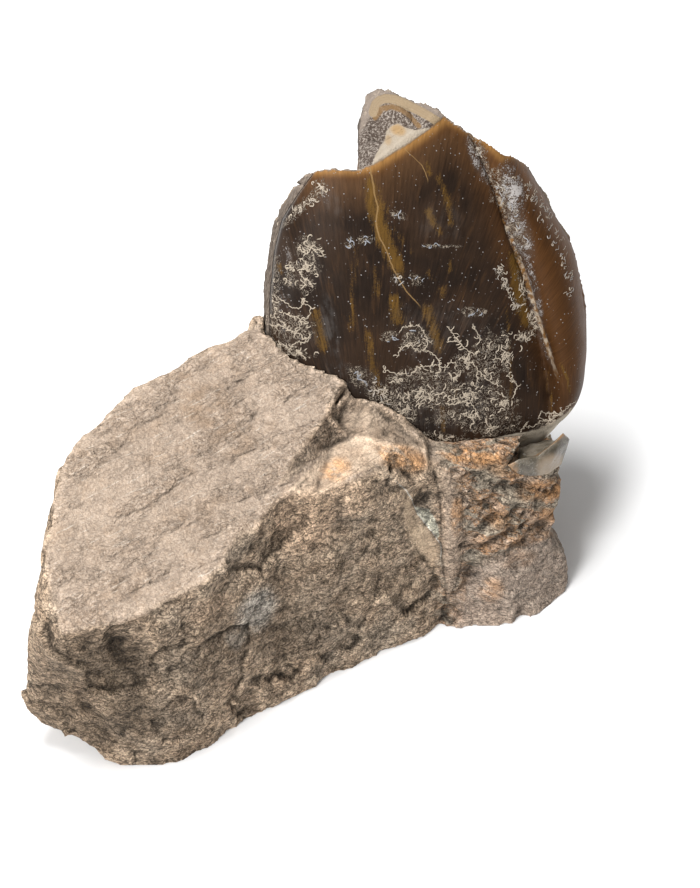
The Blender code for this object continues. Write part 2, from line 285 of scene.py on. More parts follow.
class Surface:
    """A fine copy of a CAD node, with its points in millimetres."""

    def __init__(self, name, node, voxel):
        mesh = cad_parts[node].data.copy()
        mesh.materials.clear()
        bm = bmesh.new()
        bm.from_mesh(mesh)
        bmesh.ops.remove_doubles(bm, verts=bm.verts, dist=1e-6)
        bm.to_mesh(mesh)
        self.sharp = self.sharp_points(bm)
        bm.free()
        self.piece = placed(name, mesh)
        remesh = self.piece.modifiers.new("Remesh", "REMESH")
        remesh.mode = "VOXEL"
        remesh.voxel_size = voxel * MM
        graph = bpy.context.evaluated_depsgraph_get()
        fine = bpy.data.meshes.new_from_object(self.piece.evaluated_get(graph))
        self.piece.modifiers.clear()
        self.piece.data = fine
        fine.name = name
        fine.shade_smooth()
        self.points = read(fine.vertices, "co", 3).astype(float) / MM
        self.edges = read(fine.edges, "vertices", 2, np.int32)
        self.degree = np.bincount(self.edges.ravel(), minlength=len(self.points))
        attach(self.piece, "root")
        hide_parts(node)

    @staticmethod
    def sharp_points(bm, angle=math.radians(33), step=0.5):
        """Points along the solid's sharp edges, in millimetres."""
        found = []
        for edge in bm.edges:
            if len(edge.link_faces) == 2 and edge.calc_face_angle() > angle:
                start, end = (np.array(v.co) / MM for v in edge.verts)
                count = max(1, round(np.linalg.norm(end - start) / step))
                found += [start + (end - start) * i / count for i in range(count + 1)]
        return found

    def average(self, values):
        """Each point's mean over its neighbours."""
        one, two = self.edges.T
        sums = []
        for column in np.atleast_2d(values.T):
            total = np.bincount(one, column[two], len(self.degree))
            total += np.bincount(two, column[one], len(self.degree))
            sums.append(total / np.maximum(self.degree, 1))
        return np.array(sums).T.reshape(values.shape)

    def relax(self, steps, weight):
        """Smooths the surface, by a weight from 0 to 1 at each point."""
        weight = np.broadcast_to(np.asarray(weight, float), len(self.points))[:, None]
        for _ in range(steps):
            self.points += 0.6 * weight * (self.average(self.points) - self.points)

    def seen(self, normals):
        """Which points face the camera, from 0 to 1."""
        return share(-np.einsum("ij,ij->i", sights(self.points), normals), -0.05, 0.12)

    def fold(self, corners, faces, seen, most=3.0):
        """Lays the seen points onto flat faces between corners: a pixel and a depth past the surface."""
        tree = self.tree()
        u, v = on_picture(self.points)
        sight = sights(self.points)
        spots = {}
        for name, (at_u, at_v, past) in corners.items():
            line = sight_line(at_u, at_v)
            spot = tree.ray_cast(Vector(EYE), Vector(line))[0]
            spots[name] = np.array(spot) + line * past
        shift = np.zeros(len(u))
        for names in faces:
            outline = [corners[name][:2] for name in names]
            first, second, third = (spots[name] for name in names)
            facing = np.cross(second - first, third - first)
            way = (first - self.points) @ facing / (sight @ facing)
            within = (inside(u, v, outline) > -0.02) & (seen > 0)
            shift[within] = way[within]
        weight = seen * share(self.spread((shift != 0).astype(float), 3), 0.55, 0.95)
        self.points += sight * (np.clip(shift, -most, most) * weight)[:, None]
        return weight

    def trim(self, corners):
        """Moves points to the right until none lies to the left of a line that runs down the picture."""
        past = np.maximum(-beside(*on_picture(self.points), corners), 0)
        self.points += RIGHT * past[:, None]

    def spread(self, values, steps):
        """Values smoothed over neighbouring points."""
        for _ in range(steps):
            values = blend(values, self.average(values), 0.7)
        return values

    def flakes(self, grain, size, levels, squash=(1, 1, 1), dip=0.0):
        """Thin broken sheets: noise cut into steps, from -0.5 to 0.5, with a steep face between them."""
        value = grain.fractal(dipped(self.points, dip) * squash, size, 4, 0.55) * levels
        whole = np.floor(value)
        return (whole + share(value - whole, 0.62, 1)) / levels

    def chips(self, size, tilt, step, seed, squash=(1, 1, 1)):
        """Flat broken facets: each patch of the surface tips its own way and stands at its own height."""
        random = np.random.default_rng(seed)
        count = int(len(self.points) * (ROCK_VOXEL / size) ** 2)
        bent = Grain(seed)
        places = self.points * squash
        places = places + 2 * np.stack([bent.fractal(places + 31 * axis, 4, 3) for axis in range(3)], 1)
        centres = places[random.choice(len(places), count, replace=False)]
        tilts = random.normal(size=(count, 3)) * tilt
        steps = random.normal(size=count) * step
        nearest, _ = nearest_of(centres, places)
        return np.einsum("ij,ij->i", tilts[nearest], places - centres[nearest]) + steps[nearest]

    def from_sharp(self):
        """How far each point is from the solid's nearest sharp edge."""
        return nearest_of(self.sharp, self.points)[1]

    def send(self):
        """Gives the mesh its points and returns their normals."""
        mesh = self.piece.data
        mesh.vertices.foreach_set("co", (self.points * MM).astype(np.float32).ravel())
        mesh.update()
        return read(mesh.vertex_normals, "vector", 3).astype(float)

    def paint(self, **masks):
        """Stores masks on the points, for the material to read."""
        for name, values in masks.items():
            kind, field = ("FLOAT_VECTOR", "vector") if values.ndim == 2 else ("FLOAT", "value")
            attribute = self.piece.data.attributes.new(name, kind, "POINT")
            attribute.data.foreach_set(field, values.astype(np.float32).ravel())

    def tree(self):
        mesh = self.piece.data
        faces = [tuple(face.vertices) for face in mesh.polygons]
        return BVHTree.FromPolygons([tuple(p) for p in self.points], faces)


# ---------------------------------------------------------------- material nodes


class Value:
    """A number or colour in a material. Sums are written with it as with a number."""

    def __init__(self, paint, socket):
        self.paint, self.socket = paint, socket

    def __add__(self, other):
        return self.paint.math("ADD", self, other)

    def __radd__(self, other):
        return self.paint.math("ADD", other, self)

    def __sub__(self, other):
        return self.paint.math("SUBTRACT", self, other)

    def __rsub__(self, other):
        return self.paint.math("SUBTRACT", other, self)

    def __mul__(self, other):
        return self.paint.math("MULTIPLY", self, other)

    def __abs__(self):
        return self.paint.math("ABSOLUTE", self)

    def step(self, low, high):
        """A smooth step from 0 at low to 1 at high."""
        inputs = {"Value": self, "From Min": low, "From Max": high}
        return self.paint.node("MapRange", "Result", inputs, interpolation_type="SMOOTHSTEP")

    def toward(self, colour, part):
        """This colour with a part of another."""
        return self.paint.mix(part, self, colour)

    def coated(self, *coats):
        """This colour under coats: each a colour and how much of what lies below it covers."""
        result = self
        for colour, part in coats:
            result = result.toward(colour, part)
        return result


class Paint:
    """A Principled material, and short names for the nodes that feed it."""

    def __init__(self, name):
        self.material = bpy.data.materials.new(name)
        self.material.use_nodes = True
        self.tree = self.material.node_tree
        self.shader = self.tree.nodes["Principled BSDF"]
        self.place = self.shade(self.node("TexCoord", "Object"), 1 / MM)

    def node(self, kind, output, inputs=None, **settings):
        node = self.tree.nodes.new("ShaderNode" + kind)
        for name, value in settings.items():
            setattr(node, name, value)
        for key, value in (inputs or {}).items():
            self.feed(node.inputs[key], value)
        return Value(self, node.outputs[output])

    def feed(self, socket, value):
        if isinstance(value, Value):
            self.tree.links.new(value.socket, socket)
        elif isinstance(value, tuple) and len(socket.default_value) == 4:
            socket.default_value = (*value, 1)
        else:
            socket.default_value = value

    def set(self, **values):
        for name, value in values.items():
            self.feed(self.shader.inputs[name.replace("_", " ")], value)

    def mask(self, name, output="Fac"):
        return self.node("Attribute", output, attribute_name=name)

    def noise(self, size, detail=2.0, roughness=0.5, distortion=0.0, place=None, output="Fac"):
        inputs = {"Vector": place or self.place, "Scale": 1 / size, "Detail": detail}
        inputs |= {"Roughness": roughness, "Distortion": distortion}
        return self.node("TexNoise", output, inputs)

    def folds(self, size, place):
        """Sheets that meet in sharp creases: 0 in a crease."""
        return abs(self.noise(size, 3, 0.55, place=place) - 0.5)

    def cells(self, size):
        return self.node("TexVoronoi", "Distance", {"Vector": self.place, "Scale": 1 / size})

    def terraces(self, value, count):
        """Flat steps with steep faces, and the faces alone."""
        scaled = value * count
        part = self.math("FRACT", scaled)
        return scaled - part + part.step(0.75, 1.0), part.step(0.72, 0.84) * part.step(1.0, 0.9)

    def turned(self, place, degrees, axis="Z_AXIS"):
        inputs = {"Vector": place, "Angle": math.radians(degrees)}
        return self.node("VectorRotate", 0, inputs, rotation_type=axis)

    def stretched(self, scale, place=None):
        return self.node("VectorMath", 0, {0: place or self.place, 1: scale}, operation="MULTIPLY")

    def warped(self, place, size, amount):
        """A place moved about by noise."""
        noise = self.noise(size, output="Color", place=place)
        return self.node("VectorMath", 0, {0: noise, 1: (amount,) * 3, 2: place}, operation="MULTIPLY_ADD")

    def math(self, operation, one, two=0.0):
        return self.node("Math", 0, {0: one, 1: two}, operation=operation)

    def most(self, one, two):
        return self.math("MAXIMUM", one, two)

    def mix(self, factor, one, two):
        return self.node("Mix", 2, {0: factor, 6: one, 7: two}, data_type="RGBA")

    def shade(self, colour, factor):
        """A colour made darker or lighter by a number about 1."""
        return self.node("VectorMath", 0, {0: colour, "Scale": factor}, operation="SCALE")

    def relief(self, *bumps):
        """Bumps over one another: each a height from 0 to 1, and what 1 stands for in millimetres."""
        inputs = {"Strength": 1.0}
        for height, depth in bumps:
            inputs |= {"Height": height, "Distance": depth * MM}
            inputs["Normal"] = self.node("Bump", 0, inputs)
        self.set(Normal=inputs["Normal"])


# ---------------------------------------------------------------- the rock

TOP_SLOPES = (0.62, 0.85)  # how far up a face looks where the pale top begins, and where it is whole
ROOT_DIP = 24  # degrees: the root's layers rise to the right
LYING = (0.62, 0.62, 1)  # broken layers lie flat: their lumps are longer than they are thick
ROOT_SIDE = (24, 29)  # x where the rusty rock round the root begins
# Stains, and dark places that are painted shade, first on the top and then on the front: centre, half
# sizes, tilt, strength.
TAN_BLOTCHES = [
    ((205, 405), (34, 26), 30, 0.9),
    ((230, 440), (26, 18), 20, 0.7),
    ((190, 380), (16, 10), 0, 0.5),
    ((110, 590), (30, 14), 0, 0.5),
    ((185, 520), (40, 16), -10, 0.4),
    ((365, 425), (24, 12), 20, 0.5),
]
ROCK_STAINS_AND_SHADE = {
    "rust": [
        ((402, 458), (30, 14), 15, 0.9),
        ((336, 470), (18, 13), -20, 0.8),
        ((474, 456), (34, 12), 8, 1.0),
        ((548, 490), (32, 12), -12, 1.0),
        ((505, 468), (24, 12), 20, 0.6),
        ((457, 515), (8, 22), 0, 0.8),
        ((500, 520), (16, 10), 0, 0.6),
        ((560, 514), (24, 9), 0, 0.8),
        ((520, 560), (20, 8), -20, 0.3),
        ((460, 600), (6, 30), 10, 0.35),
        ((492, 590), (14, 14), 0, 0.6),
        ((530, 540), (34, 5), -15, 0.6),
    ],
    "warm": [
        ((306, 522), (40, 34), -30, 1.0),
        ((345, 500), (30, 20), 0, 0.7),
        ((210, 610), (30, 14), -25, 0.6),
    ],
    "blue_grey": [((256, 612), (20, 30), 35, 1.0), ((238, 640), (12, 12), 0, 0.7)],
    # Darker brown low on the left of the wall: painted shade.
    "brown": [
        ((95, 690), (80, 75), 25, 1.0),
        ((190, 660), (90, 40), -30, 0.6),
        ((320, 600), (90, 40), -35, 0.35),
    ],
    # Painted shade: the pit, and the recesses under overhangs and along edges.
    "pit": [((421, 501), (12, 8), -35, 1.0)],
    "recess_shade": [
        ((530, 452), (34, 6), -14, 1.0),
        ((112, 655), (34, 44), -40, 0.3),
        ((470, 575), (10, 4), 0, 0.5),
        ((300, 640), (40, 16), -30, 0.6),
        ((150, 720), (50, 20), 10, 0.5),
    ],
}
# The broken faces in the middle: corners (pixel, millimetres past the solid's surface) and the faces.
FACET_CORNERS = {
    "crown": (345, 382, 0), "slab": (328, 413, 0), "slab_low": (298, 453, 0), "slab_end": (282, 474, 0),
    "foot": (348, 392, 0.1), "notch": (337, 421, 0.3), "crest": (349, 438, -0.6),
    "crest_mid": (372, 441, -1.6), "block": (389, 447, -1.6), "ledge_top": (366, 402, 0),
    "ledge": (398, 427, 0), "ledge_end": (423, 447, 0),
    "shade": (333, 444, 0.8), "shade_mid": (310, 460, 0.6), "shade_end": (283, 483, 0),
    "band": (350, 472, 0.7), "band_end": (313, 497, 0.2), "band_right": (385, 463, -0.4),
    "cream_right": (429, 470, 0), "cream_low": (411, 487, 0),
}
FACET_FACES = [
    ("crown", "foot", "slab"), ("foot", "notch", "slab"),
    ("foot", "ledge_top", "notch"), ("ledge_top", "crest", "notch"), ("ledge_top", "crest_mid", "crest"),
    ("ledge_top", "ledge", "crest_mid"), ("ledge", "block", "crest_mid"), ("ledge", "ledge_end", "block"),
    ("slab", "notch", "crest"), ("slab", "crest", "shade"), ("slab", "shade", "slab_low"),
    ("slab_low", "shade", "shade_mid"), ("slab_low", "shade_mid", "slab_end"),
    ("slab_end", "shade_mid", "shade_end"),
    ("shade", "crest", "band"), ("shade", "band", "band_end"), ("shade", "band_end", "shade_mid"),
    ("shade_mid", "band_end", "shade_end"), ("crest", "crest_mid", "band"),
    ("crest_mid", "band_right", "band"), ("crest_mid", "block", "band_right"),
    ("block", "ledge_end", "cream_right"), ("block", "cream_right", "cream_low"),
    ("block", "cream_low", "band_right"),
]
# The cove under the slab's overhang and the gap above the right part: outline, depth and soft edge.
COVES = [
    ([(117, 614), (135, 611), (145, 618), (148, 628), (158, 650), (166, 682), (142, 694), (118, 672),
      (104, 642)], 0.9, 1.8),
    ([(500, 446), (530, 444), (560, 434), (562, 442), (530, 456), (498, 458)], 0.5, 1.2),
]
# Lines that are painted: seams, a crack and the vein's white edge.
ROCK_LINES = {
    "block_seam": [(429, 446), (431, 462), (437, 478), (441, 510), (441, 546), (446, 598), (444, 614)],
    "tongue_seam": [(462, 500), (463, 532), (463, 555), (457, 579), (449, 600)],
    "block_crack": [(389, 446), (380, 456), (366, 463), (352, 474), (338, 480), (325, 489), (311, 497)],
    "vein_edge": [(400, 485), (406, 490), (412, 499), (419, 515), (431, 531), (441, 545), (441, 556)],
}
# Open seams: line, depth and half width of the cut.
SEAMS = [
    (ROCK_LINES["block_seam"], 0.35, 0.6),
    (ROCK_LINES["tongue_seam"], 0.15, 0.6),
    ([(453, 470), (480, 476), (510, 486), (560, 494)], 0.6, 0.9),
    ([(462, 548), (490, 545), (520, 531), (545, 524)], 0.8, 1.0),
]
# Broken faces that catch the light or lie in shade: outline, and how light or dark the face is.
FACE_TONES = [
    ([(349, 392), (366, 402), (398, 427), (428, 445), (390, 446), (372, 440), (350, 436),
      (337, 420)], -0.30),
    ([(337, 420), (350, 434), (372, 438), (390, 443), (428, 447), (428, 451), (390, 449), (372, 444),
      (350, 444), (341, 436), (330, 420)], 0.28),
    ([(348, 384), (350, 391), (337, 421), (326, 408)], 0.08),
    ([(328, 419), (341, 434), (350, 440), (333, 446), (308, 462), (280, 484), (299, 453)], -0.18),
    ([(350, 442), (388, 449), (384, 464), (350, 476), (312, 498), (290, 490), (333, 446)], 0.04),
]
FACE_EDGE = 0.25
# The chalcedony vein and the smooth face beside it.
VEIN = [(414, 505), (430, 509), (439, 527), (441, 545), (432, 533), (420, 518)]
VEIN_FACE = [
    (404, 490), (411, 496), (420, 517), (432, 534), (441, 549), (441, 560), (430, 562), (413, 546),
    (405, 522),
]
TONGUE = [
    (432, 460), (452, 472), (461, 500), (463, 555), (456, 580), (448, 600), (444, 590), (441, 545),
    (441, 505),
]
VEIN_HOLLOW = [(404, 488), (420, 484), (438, 490), (441, 512), (441, 545), (430, 520), (412, 512)]
CALM_FOOT = [(450, 620), (452, 596), (470, 566), (520, 545), (560, 520), (620, 520), (620, 640), (450, 640)]
# Colours. Shades are a darker and a lighter one, mixed by a noise.
TOP_SHADES = (0.322, 0.251, 0.193), (0.400, 0.318, 0.250)
TOP_TAN = (0.315, 0.228, 0.16)
TOP_BLOTCH = (0.27, 0.19, 0.128)
SCARP = (0.22, 0.155, 0.105)
SCRATCH = (0.56, 0.495, 0.42)
TOP_CRACK = (0.26, 0.18, 0.12)
WALL_SHADES = (0.37, 0.265, 0.18), (0.62, 0.47, 0.335)
WALL_GREY = (0.47, 0.37, 0.275)
FACE_SHADES = (0.40, 0.295, 0.21), (0.55, 0.425, 0.315)
ROOT_SHADES = (0.42, 0.285, 0.185), (0.68, 0.52, 0.395)
ROOT_ORANGE = (0.62, 0.42, 0.285)
PLATE_GREY = (0.46, 0.41, 0.32)
RUST_LINE = (0.60, 0.30, 0.12)
FOOT_TAN = (0.58, 0.47, 0.385)
# Painted shade on the steep faces of the root's ledges.
LEDGE_SHADE = (0.15, 0.10, 0.07)
TONGUE_TAN = (0.58, 0.44, 0.33)
RUST = (0.66, 0.34, 0.145)
WARM_TAN = (0.66, 0.46, 0.31)
BLUE_GREY = (0.56, 0.53, 0.475)
# Painted shade on the lower left wall.
WALL_SHADE_BROWN = (0.20, 0.145, 0.098)
SMOOTH_SHADES = (0.31, 0.225, 0.145), (0.56, 0.43, 0.30)
VEIN_SHADES = (0.62, 0.56, 0.40), (0.95, 0.92, 0.76)
VEIN_WHITE = (0.85, 0.80, 0.70)


def make_rock(tooth_tree):
    rock = Surface("rock_surface", "matrix", ROCK_VOXEL)
    to_edge = rock.from_sharp()
    rock.relax(7, blend(0.1, 1, share(to_edge, 0.3, 2.0)))
    seen = rock.seen(rock.send())
    plain = rock.fold(FACET_CORNERS, FACET_FACES, seen)
    x, y, z = rock.points.T
    root = share(x, *ROOT_SIDE) * (1 - share(y, 30, 40))
    rock.relax(14, 0.9 * root * share(z, 0.5, 3))
    u, v = on_picture(rock.points)
    rock.relax(120, 0.9 * seen * share(inside(u, v, VEIN_HOLLOW), -0.8, 0.2))
    rock.relax(25, 0.8 * seen * share(inside(u, v, TONGUE), -1.6, -0.2))
    normals = rock.send()
    u, v = on_picture(rock.points)
    at = SimpleNamespace(u=u, v=v, seen=seen, plain=plain, root=root, to_edge=to_edge)
    at.top = share(normals[:, 2], *TOP_SLOPES) * (1 - root)
    at.foot = 0.6 * share(inside(u, v, CALM_FOOT), -1, 2)
    at.tongue = seen * share(inside(u, v, TONGUE), -1.5, 1.5)
    at.wander = 0.5 * Grain(12).fractal(rock.points, 3)
    height = rock_relief(rock, at)
    to_tooth = np.array([tooth_tree.find_nearest(point, 3)[3] or 3 for point in rock.points])
    height = blend(height, 0.25, 1 - share(to_tooth, 0.5, 1.3))
    height[(rock.points[:, 2] < 0.3) & (normals[:, 2] < -0.7)] = 0
    rock.points += normals * height[:, None]
    rock.relax(1, 0.5)
    rock.points[:, 2] = np.maximum(rock.points[:, 2], 0)
    mask_rock(rock, at)
    rock.piece.data.materials.append(rock_material())


def rock_relief(rock, at):
    """How far the broken grain stands out from the smooth rock, in millimetres."""
    points, lying = rock.points, rock.points * LYING
    coarse, fine = Grain(11), Grain(12)
    lumps = coarse.billows(lying, 2.0, 3)
    broken = rock.chips(11, 0.1, 0.3, 13)
    root_chips = np.clip(rock.chips(4.6, 0.26, 0.34, 14, (0.7, 0.8, 1.2)), -1.1, 0.9)
    sheets = rock.flakes(coarse, 5, 7, LYING)
    ledges = rock.flakes(fine, 6.5, 3, (0.35, 0.5, 1), dip=ROOT_DIP)
    slates = rock.flakes(Grain(15), 5, 6, (0.45, 0.6, 1.3), dip=ROOT_DIP + 8)
    layers = 0.25 * (lumps - 0.3) + 0.45 * root_chips + 1.2 * slates + 1.3 * ledges
    height = at.top * (0.22 * coarse.fractal(points, 7) + 0.22 * rock.flakes(fine, 3.4, 4))
    height += (1 - at.top) * (1 - at.root) * (0.3 * (lumps - 0.28) + 0.7 * broken + 0.9 * sheets)
    height += at.root * (1 - at.foot) * layers
    height = blend(height, 0.35 + 0.3 * height, at.tongue)
    smooth = at.seen * share(inside(at.u, at.v, VEIN_FACE), -0.2, 0.4)
    height *= 1 - 0.8 * np.maximum(at.plain, smooth)
    height -= (1 - at.root) * (1 - share(at.to_edge, 0, 2.2)) * (0.45 * coarse.billows(points, 3.4, 2))
    for outline, depth, edge in COVES:
        height -= depth * at.seen * share(inside(at.u, at.v, outline) + at.wander, -0.2, edge)
    for line, depth, width in SEAMS:
        height -= depth * at.seen * np.exp(-(((offset_from(at.u, at.v, line) + at.wander) / width) ** 2))
    return height


def mask_rock(rock, at):
    """Stores the masks that the rock's material reads."""
    normals = rock.send()
    # How far each point lies in a hollow: painted shade in hollows and painted light on ridges.
    hollow, wide_hollow = (
        np.einsum("ij,ij->i", rock.spread(rock.points, steps) - rock.points, normals) for steps in (5, 24)
    )
    face_tone = np.zeros(len(rock.points))
    for outline, tone in FACE_TONES:
        part = share(inside(at.u, at.v, outline) + 0.3 * at.wander, -FACE_EDGE, FACE_EDGE) * at.seen
        face_tone = blend(face_tone, tone, part)
    rock.paint(
        top=rock.spread(at.top, 2),
        root=at.root,
        tongue=at.tongue,
        foot=at.foot,
        hollow=share(hollow, -0.28, 0.28),
        wide_hollow=share(wide_hollow, -0.9, 0.9),
        blotch=blobs(at.u, at.v, TAN_BLOTCHES) * at.top,
        face_tone=face_tone,
        face=share(np.abs(face_tone), 0, 0.03),
    )
    front = share(-normals[:, 1], -0.2, 0.2)
    for name, places in ROCK_STAINS_AND_SHADE.items():
        rock.paint(**{name: blobs(at.u, at.v, places) * front})
    for name, outline in (("vein", VEIN), ("vein_face", VEIN_FACE)):
        rock.paint(**{name: np.where(at.seen > SEEN_FROM, inside(at.u, at.v, outline), UNSEEN_DEPTH)})
    for name, line in ROCK_LINES.items():
        rock.paint(**{name: np.where(at.seen > SEEN_FROM, offset_from(at.u, at.v, line), UNSEEN_OFFSET)})


class RockPaint(Paint):
    """The rock's material, with the grains that its parts share."""

    def __init__(self):
        super().__init__("rock")
        self.top, self.root = self.mask("top"), self.mask("root")
        self.above_foot = 1.0 - self.mask("foot")
        self.lying = self.stretched(LYING)
        self.dipping = self.stretched((0.4, 0.7, 1.3), self.turned(self.place, -ROOT_DIP, "Y_AXIS"))
        self.combed = self.stretched((0.45, 1, 1), self.turned(self.place, -35))
        self.broad = self.noise(11, 3, 0.55)
        self.middle = self.noise(2.6, 4, 0.6, place=self.lying)
        self.flake = self.noise(1.6, 3, 0.6, distortion=0.8, place=self.lying)
        self.grains = self.noise(0.34, 2, 0.6).step(0.3, 0.7)
        crumpled = self.warped(self.lying, 2.0, 1.2)
        # Creases: they bump the surface, and painted shade darkens them where the rock is rough.
        self.wide_crease = self.folds(2.2, crumpled)
        self.crease = self.folds(0.85, crumpled)
        self.fine_crease = self.folds(0.42, crumpled)
        self.scarps, self.scarp_faces = self.terraces(self.noise(3.4, 5, 0.62, place=self.combed), 11)
        self.ledges, self.ledge_faces = self.terraces(self.noise(5, 5, 0.6, place=self.dipping), 9)
        self.rough_part = self.noise(6, 3, 0.6, place=self.combed).step(0.40, 0.62)
        self.smooth = (self.mask("vein_face") + self.broad * 0.8).step(-1.0, 1.6) * 0.7
        self.vein = (self.mask("vein") + (self.flake - 0.5) * 1.2).step(0.0, 0.3)

    def pale_top(self):
        """The pale, fine-grained top, with low scarps and light scratches."""
        scratches = self.noise(0.55, 2, place=self.stretched((0.16, 1.4, 1), self.combed), distortion=0.4)
        cracks = self.fine_crease.step(0.10, 0.02)
        return self.mix(self.broad, *TOP_SHADES).coated(
            (TOP_TAN, self.middle.step(0.50, 0.72) * 0.5),
            (TOP_BLOTCH, self.mask("blotch") * self.middle.step(0.38, 0.58) * 0.75),
            (SCARP, self.scarp_faces * self.rough_part * 0.55),
            (SCRATCH, scratches.step(0.63, 0.72) * 0.55),
            (TOP_CRACK, cracks * (0.30 + self.rough_part * 0.15)),
        )

    def rusty_root(self):
        """The rusty rock round the root, in layers that rise to the right, with painted shade on the ledge
        faces.
        """
        layered = self.noise(4.2, 5, 0.65, place=self.dipping)
        rust_lines = abs(layered - 0.49).step(0.022, 0.008)
        return self.mix(self.flake.step(0.40, 0.60), *ROOT_SHADES).coated(
            (ROOT_ORANGE, self.broad.step(0.45, 0.62)),
            (PLATE_GREY, layered.step(0.50, 0.56) * self.above_foot * 0.75),
            (RUST_LINE, rust_lines * self.above_foot * 0.6),
            (FOOT_TAN, self.mask("foot") * 1.2),
            # Painted shade on the ledges' steep faces.
            (LEDGE_SHADE, self.ledge_faces * self.above_foot * 0.7),
            (TONGUE_TAN, self.mask("tongue")),
        )

    def rock_colour(self):
        """The walls, with painted shade low on the left; the top; the root's rock; stains; the vein and
        what lies beside it.
        """
        lumps, patchy = self.middle.step(0.3, 0.7), self.middle.step(0.3, 0.5)
        flaky = self.noise(2.2, 4, 0.65, place=self.dipping).step(0.34, 0.56)
        vein_edge = abs(self.mask("vein_edge") + (self.middle - 0.5) * 0.5).step(0.16, 0.08)
        return self.mix(lumps, *WALL_SHADES).coated(
            (WALL_GREY, self.broad.step(0.46, 0.7)),
            (self.pale_top(), self.top),
            (self.mix(lumps, *FACE_SHADES), self.mask("face")),
            (self.rusty_root(), self.root),
            (RUST, self.mask("rust") * flaky * 0.8),
            (WARM_TAN, self.mask("warm") * patchy * 0.75),
            (BLUE_GREY, self.mask("blue_grey") * patchy * 0.7),
            # Painted shade on the lower left wall.
            (WALL_SHADE_BROWN, self.mask("brown") * (1.0 - self.top) * 0.75),
            (self.mix(self.flake, *SMOOTH_SHADES), self.smooth),
            (self.mix(self.flake, *VEIN_SHADES), self.vein),
            (VEIN_WHITE, vein_edge * 0.8),
        )

    def shade_and_seams(self):
        """Painted shade in the recesses and the pit, and the dark seams and the crack."""
        dark = self.most(self.mask("recess_shade"), self.mask("pit") * 0.8)
        for name, width in (("block_seam", 0.3), ("tongue_seam", 0.2), ("block_crack", 0.16)):
            line = abs(self.mask(name) + (self.middle - 0.5) * 1.2).step(width, width * 0.3)
            dark = self.most(dark, line * 0.55)
        return dark


def rock_material():
    paint = RockPaint()
    grains, root, hollow = paint.grains, paint.root, paint.mask("hollow")
    calm_top = paint.top * (0.68 - paint.rough_part * 0.12)
    rough = (1.0 - paint.most(calm_top, paint.smooth * 0.85)) * (1.0 - root * 0.3)
    tone = 1.0 + (grains - 0.5) * (0.40 - calm_top * 0.10)
    # Painted light and shade on the broken faces, and painted shade in the recesses and the pit.
    tone = tone * (1.0 + paint.mask("face_tone")) * (1.0 - root * 0.3) * (1.0 - paint.shade_and_seams() * 0.65)
    # Painted shade in hollows and painted light on ridges.
    tone = tone * (1.18 - hollow * 0.36) * (1.2 - paint.mask("wide_hollow") * 0.42)
    tone = tone * (1.0 - hollow.step(0.55, 1.0) * 0.55)
    # Painted shade in the creases where the rock is rough.
    tone = tone * (1.05 - paint.wide_crease.step(0.05, 0.0) * rough * 0.6)
    tone = tone * (1.06 - paint.crease.step(0.085, 0.01) * rough * 0.62)
    tone = tone * (1.05 - paint.fine_crease.step(0.08, 0.01) * rough * 0.35)
    tone = tone * (1.0 - paint.cells(1.7).step(0.16, 0.05) * grains.step(0.5, 0.6) * 0.5)
    paint.set(Base_Color=paint.shade(paint.rock_colour(), tone))
    paint.set(Roughness=0.78 + grains * 0.2 + paint.vein * -0.45, Specular_IOR_Level=0.2 + paint.vein * 0.3)
    paint.relief(
        (grains * rough, 0.10),
        (paint.fine_crease * rough, 0.8),
        (paint.crease * rough, 1.4),
        (paint.wide_crease * rough, 1.2),
        (paint.scarps * paint.top * paint.rough_part, 0.14),
        (paint.ledges * root * paint.above_foot, 0.45),
        (paint.noise(1.6, 4, 0.6, place=paint.lying) * rough, 0.8),
    )
    return paint.material


# ---------------------------------------------------------------- the tooth

# The enamel's fine lines: they run up the crown and spread out from an x, above a height.
FAN_MIDDLE = -11.7
FAN_FROM = 14
FAN_LENGTH = 34
# Lines and outlines on the picture: the worn edge, the broken cusp, the crown's sides and its parts.
FRONT_RIM = [
    (315, 170), (358, 169), (372, 167), (392, 155), (405, 147), (430, 130), (445, 118), (460, 124),
    (484, 139), (503, 156), (519, 153), (526, 160),
]
CUSP_OUTLINE = [
    (350, 164), (358, 168), (372, 166), (392, 154), (405, 146), (430, 129), (444, 117), (446, 100),
    (400, 70), (350, 70),
]
CUSP_PIT = [(370, 118), (380, 104), (398, 100), (408, 108), (404, 124), (386, 134), (372, 130)]
CUSP_LEFT = [(366, 80), (366, 95), (361, 115), (359, 132), (357, 150), (357, 162), (150, 166), (150, 900)]
SHOULDER_LEFT = [
    (150, 0), (150, 182), (303, 183), (290, 188), (285, 192), (280, 202), (275, 215), (268, 245),
    (262, 290), (150, 291), (150, 900),
]
CREAM_ARCH = [
    (373.5, 113), (376, 105), (380, 101), (386, 99), (396, 100), (406, 104.5), (418, 110.5), (430, 117),
    (441, 124),
]
BROWN_RIM = [(375, 117), (382, 108.5), (391, 106.5), (401, 109.5), (410, 116.5), (419, 126)]
DENTINE = [
    (371, 166), (378, 150), (385, 139), (386, 131), (392, 125), (399, 123.5), (404, 127), (415, 130),
    (427, 128), (436, 127), (400, 152), (380, 166),
]
DARK_ZONE = CREAM_ARCH + [
    (430, 131), (405, 148), (392, 156), (380, 165), (358, 170), (354, 150), (359, 132), (366, 121),
]
ORANGE_DENTINE = [((398, 130), (9, 6), 20, 1.0), ((388, 140), (4, 6), 0, 0.6)]
# The groove between the lobes: h and x.
GROOVE = [
    (-20, 30), (6, 29), (12.5, 26), (21, 23), (33.7, 19), (40, 16.6), (48.6, 14), (56, 11), (63.5, 7.6),
]
MIDDLE_CRACK = [
    (370, 167), (372, 178), (375, 196), (378, 207), (376, 224), (379, 236), (386, 250), (393, 268),
    (399, 279), (407, 292), (420, 306),
]
SIDE_CRACK = [(403, 147), (411, 155), (422, 165), (428, 180)]
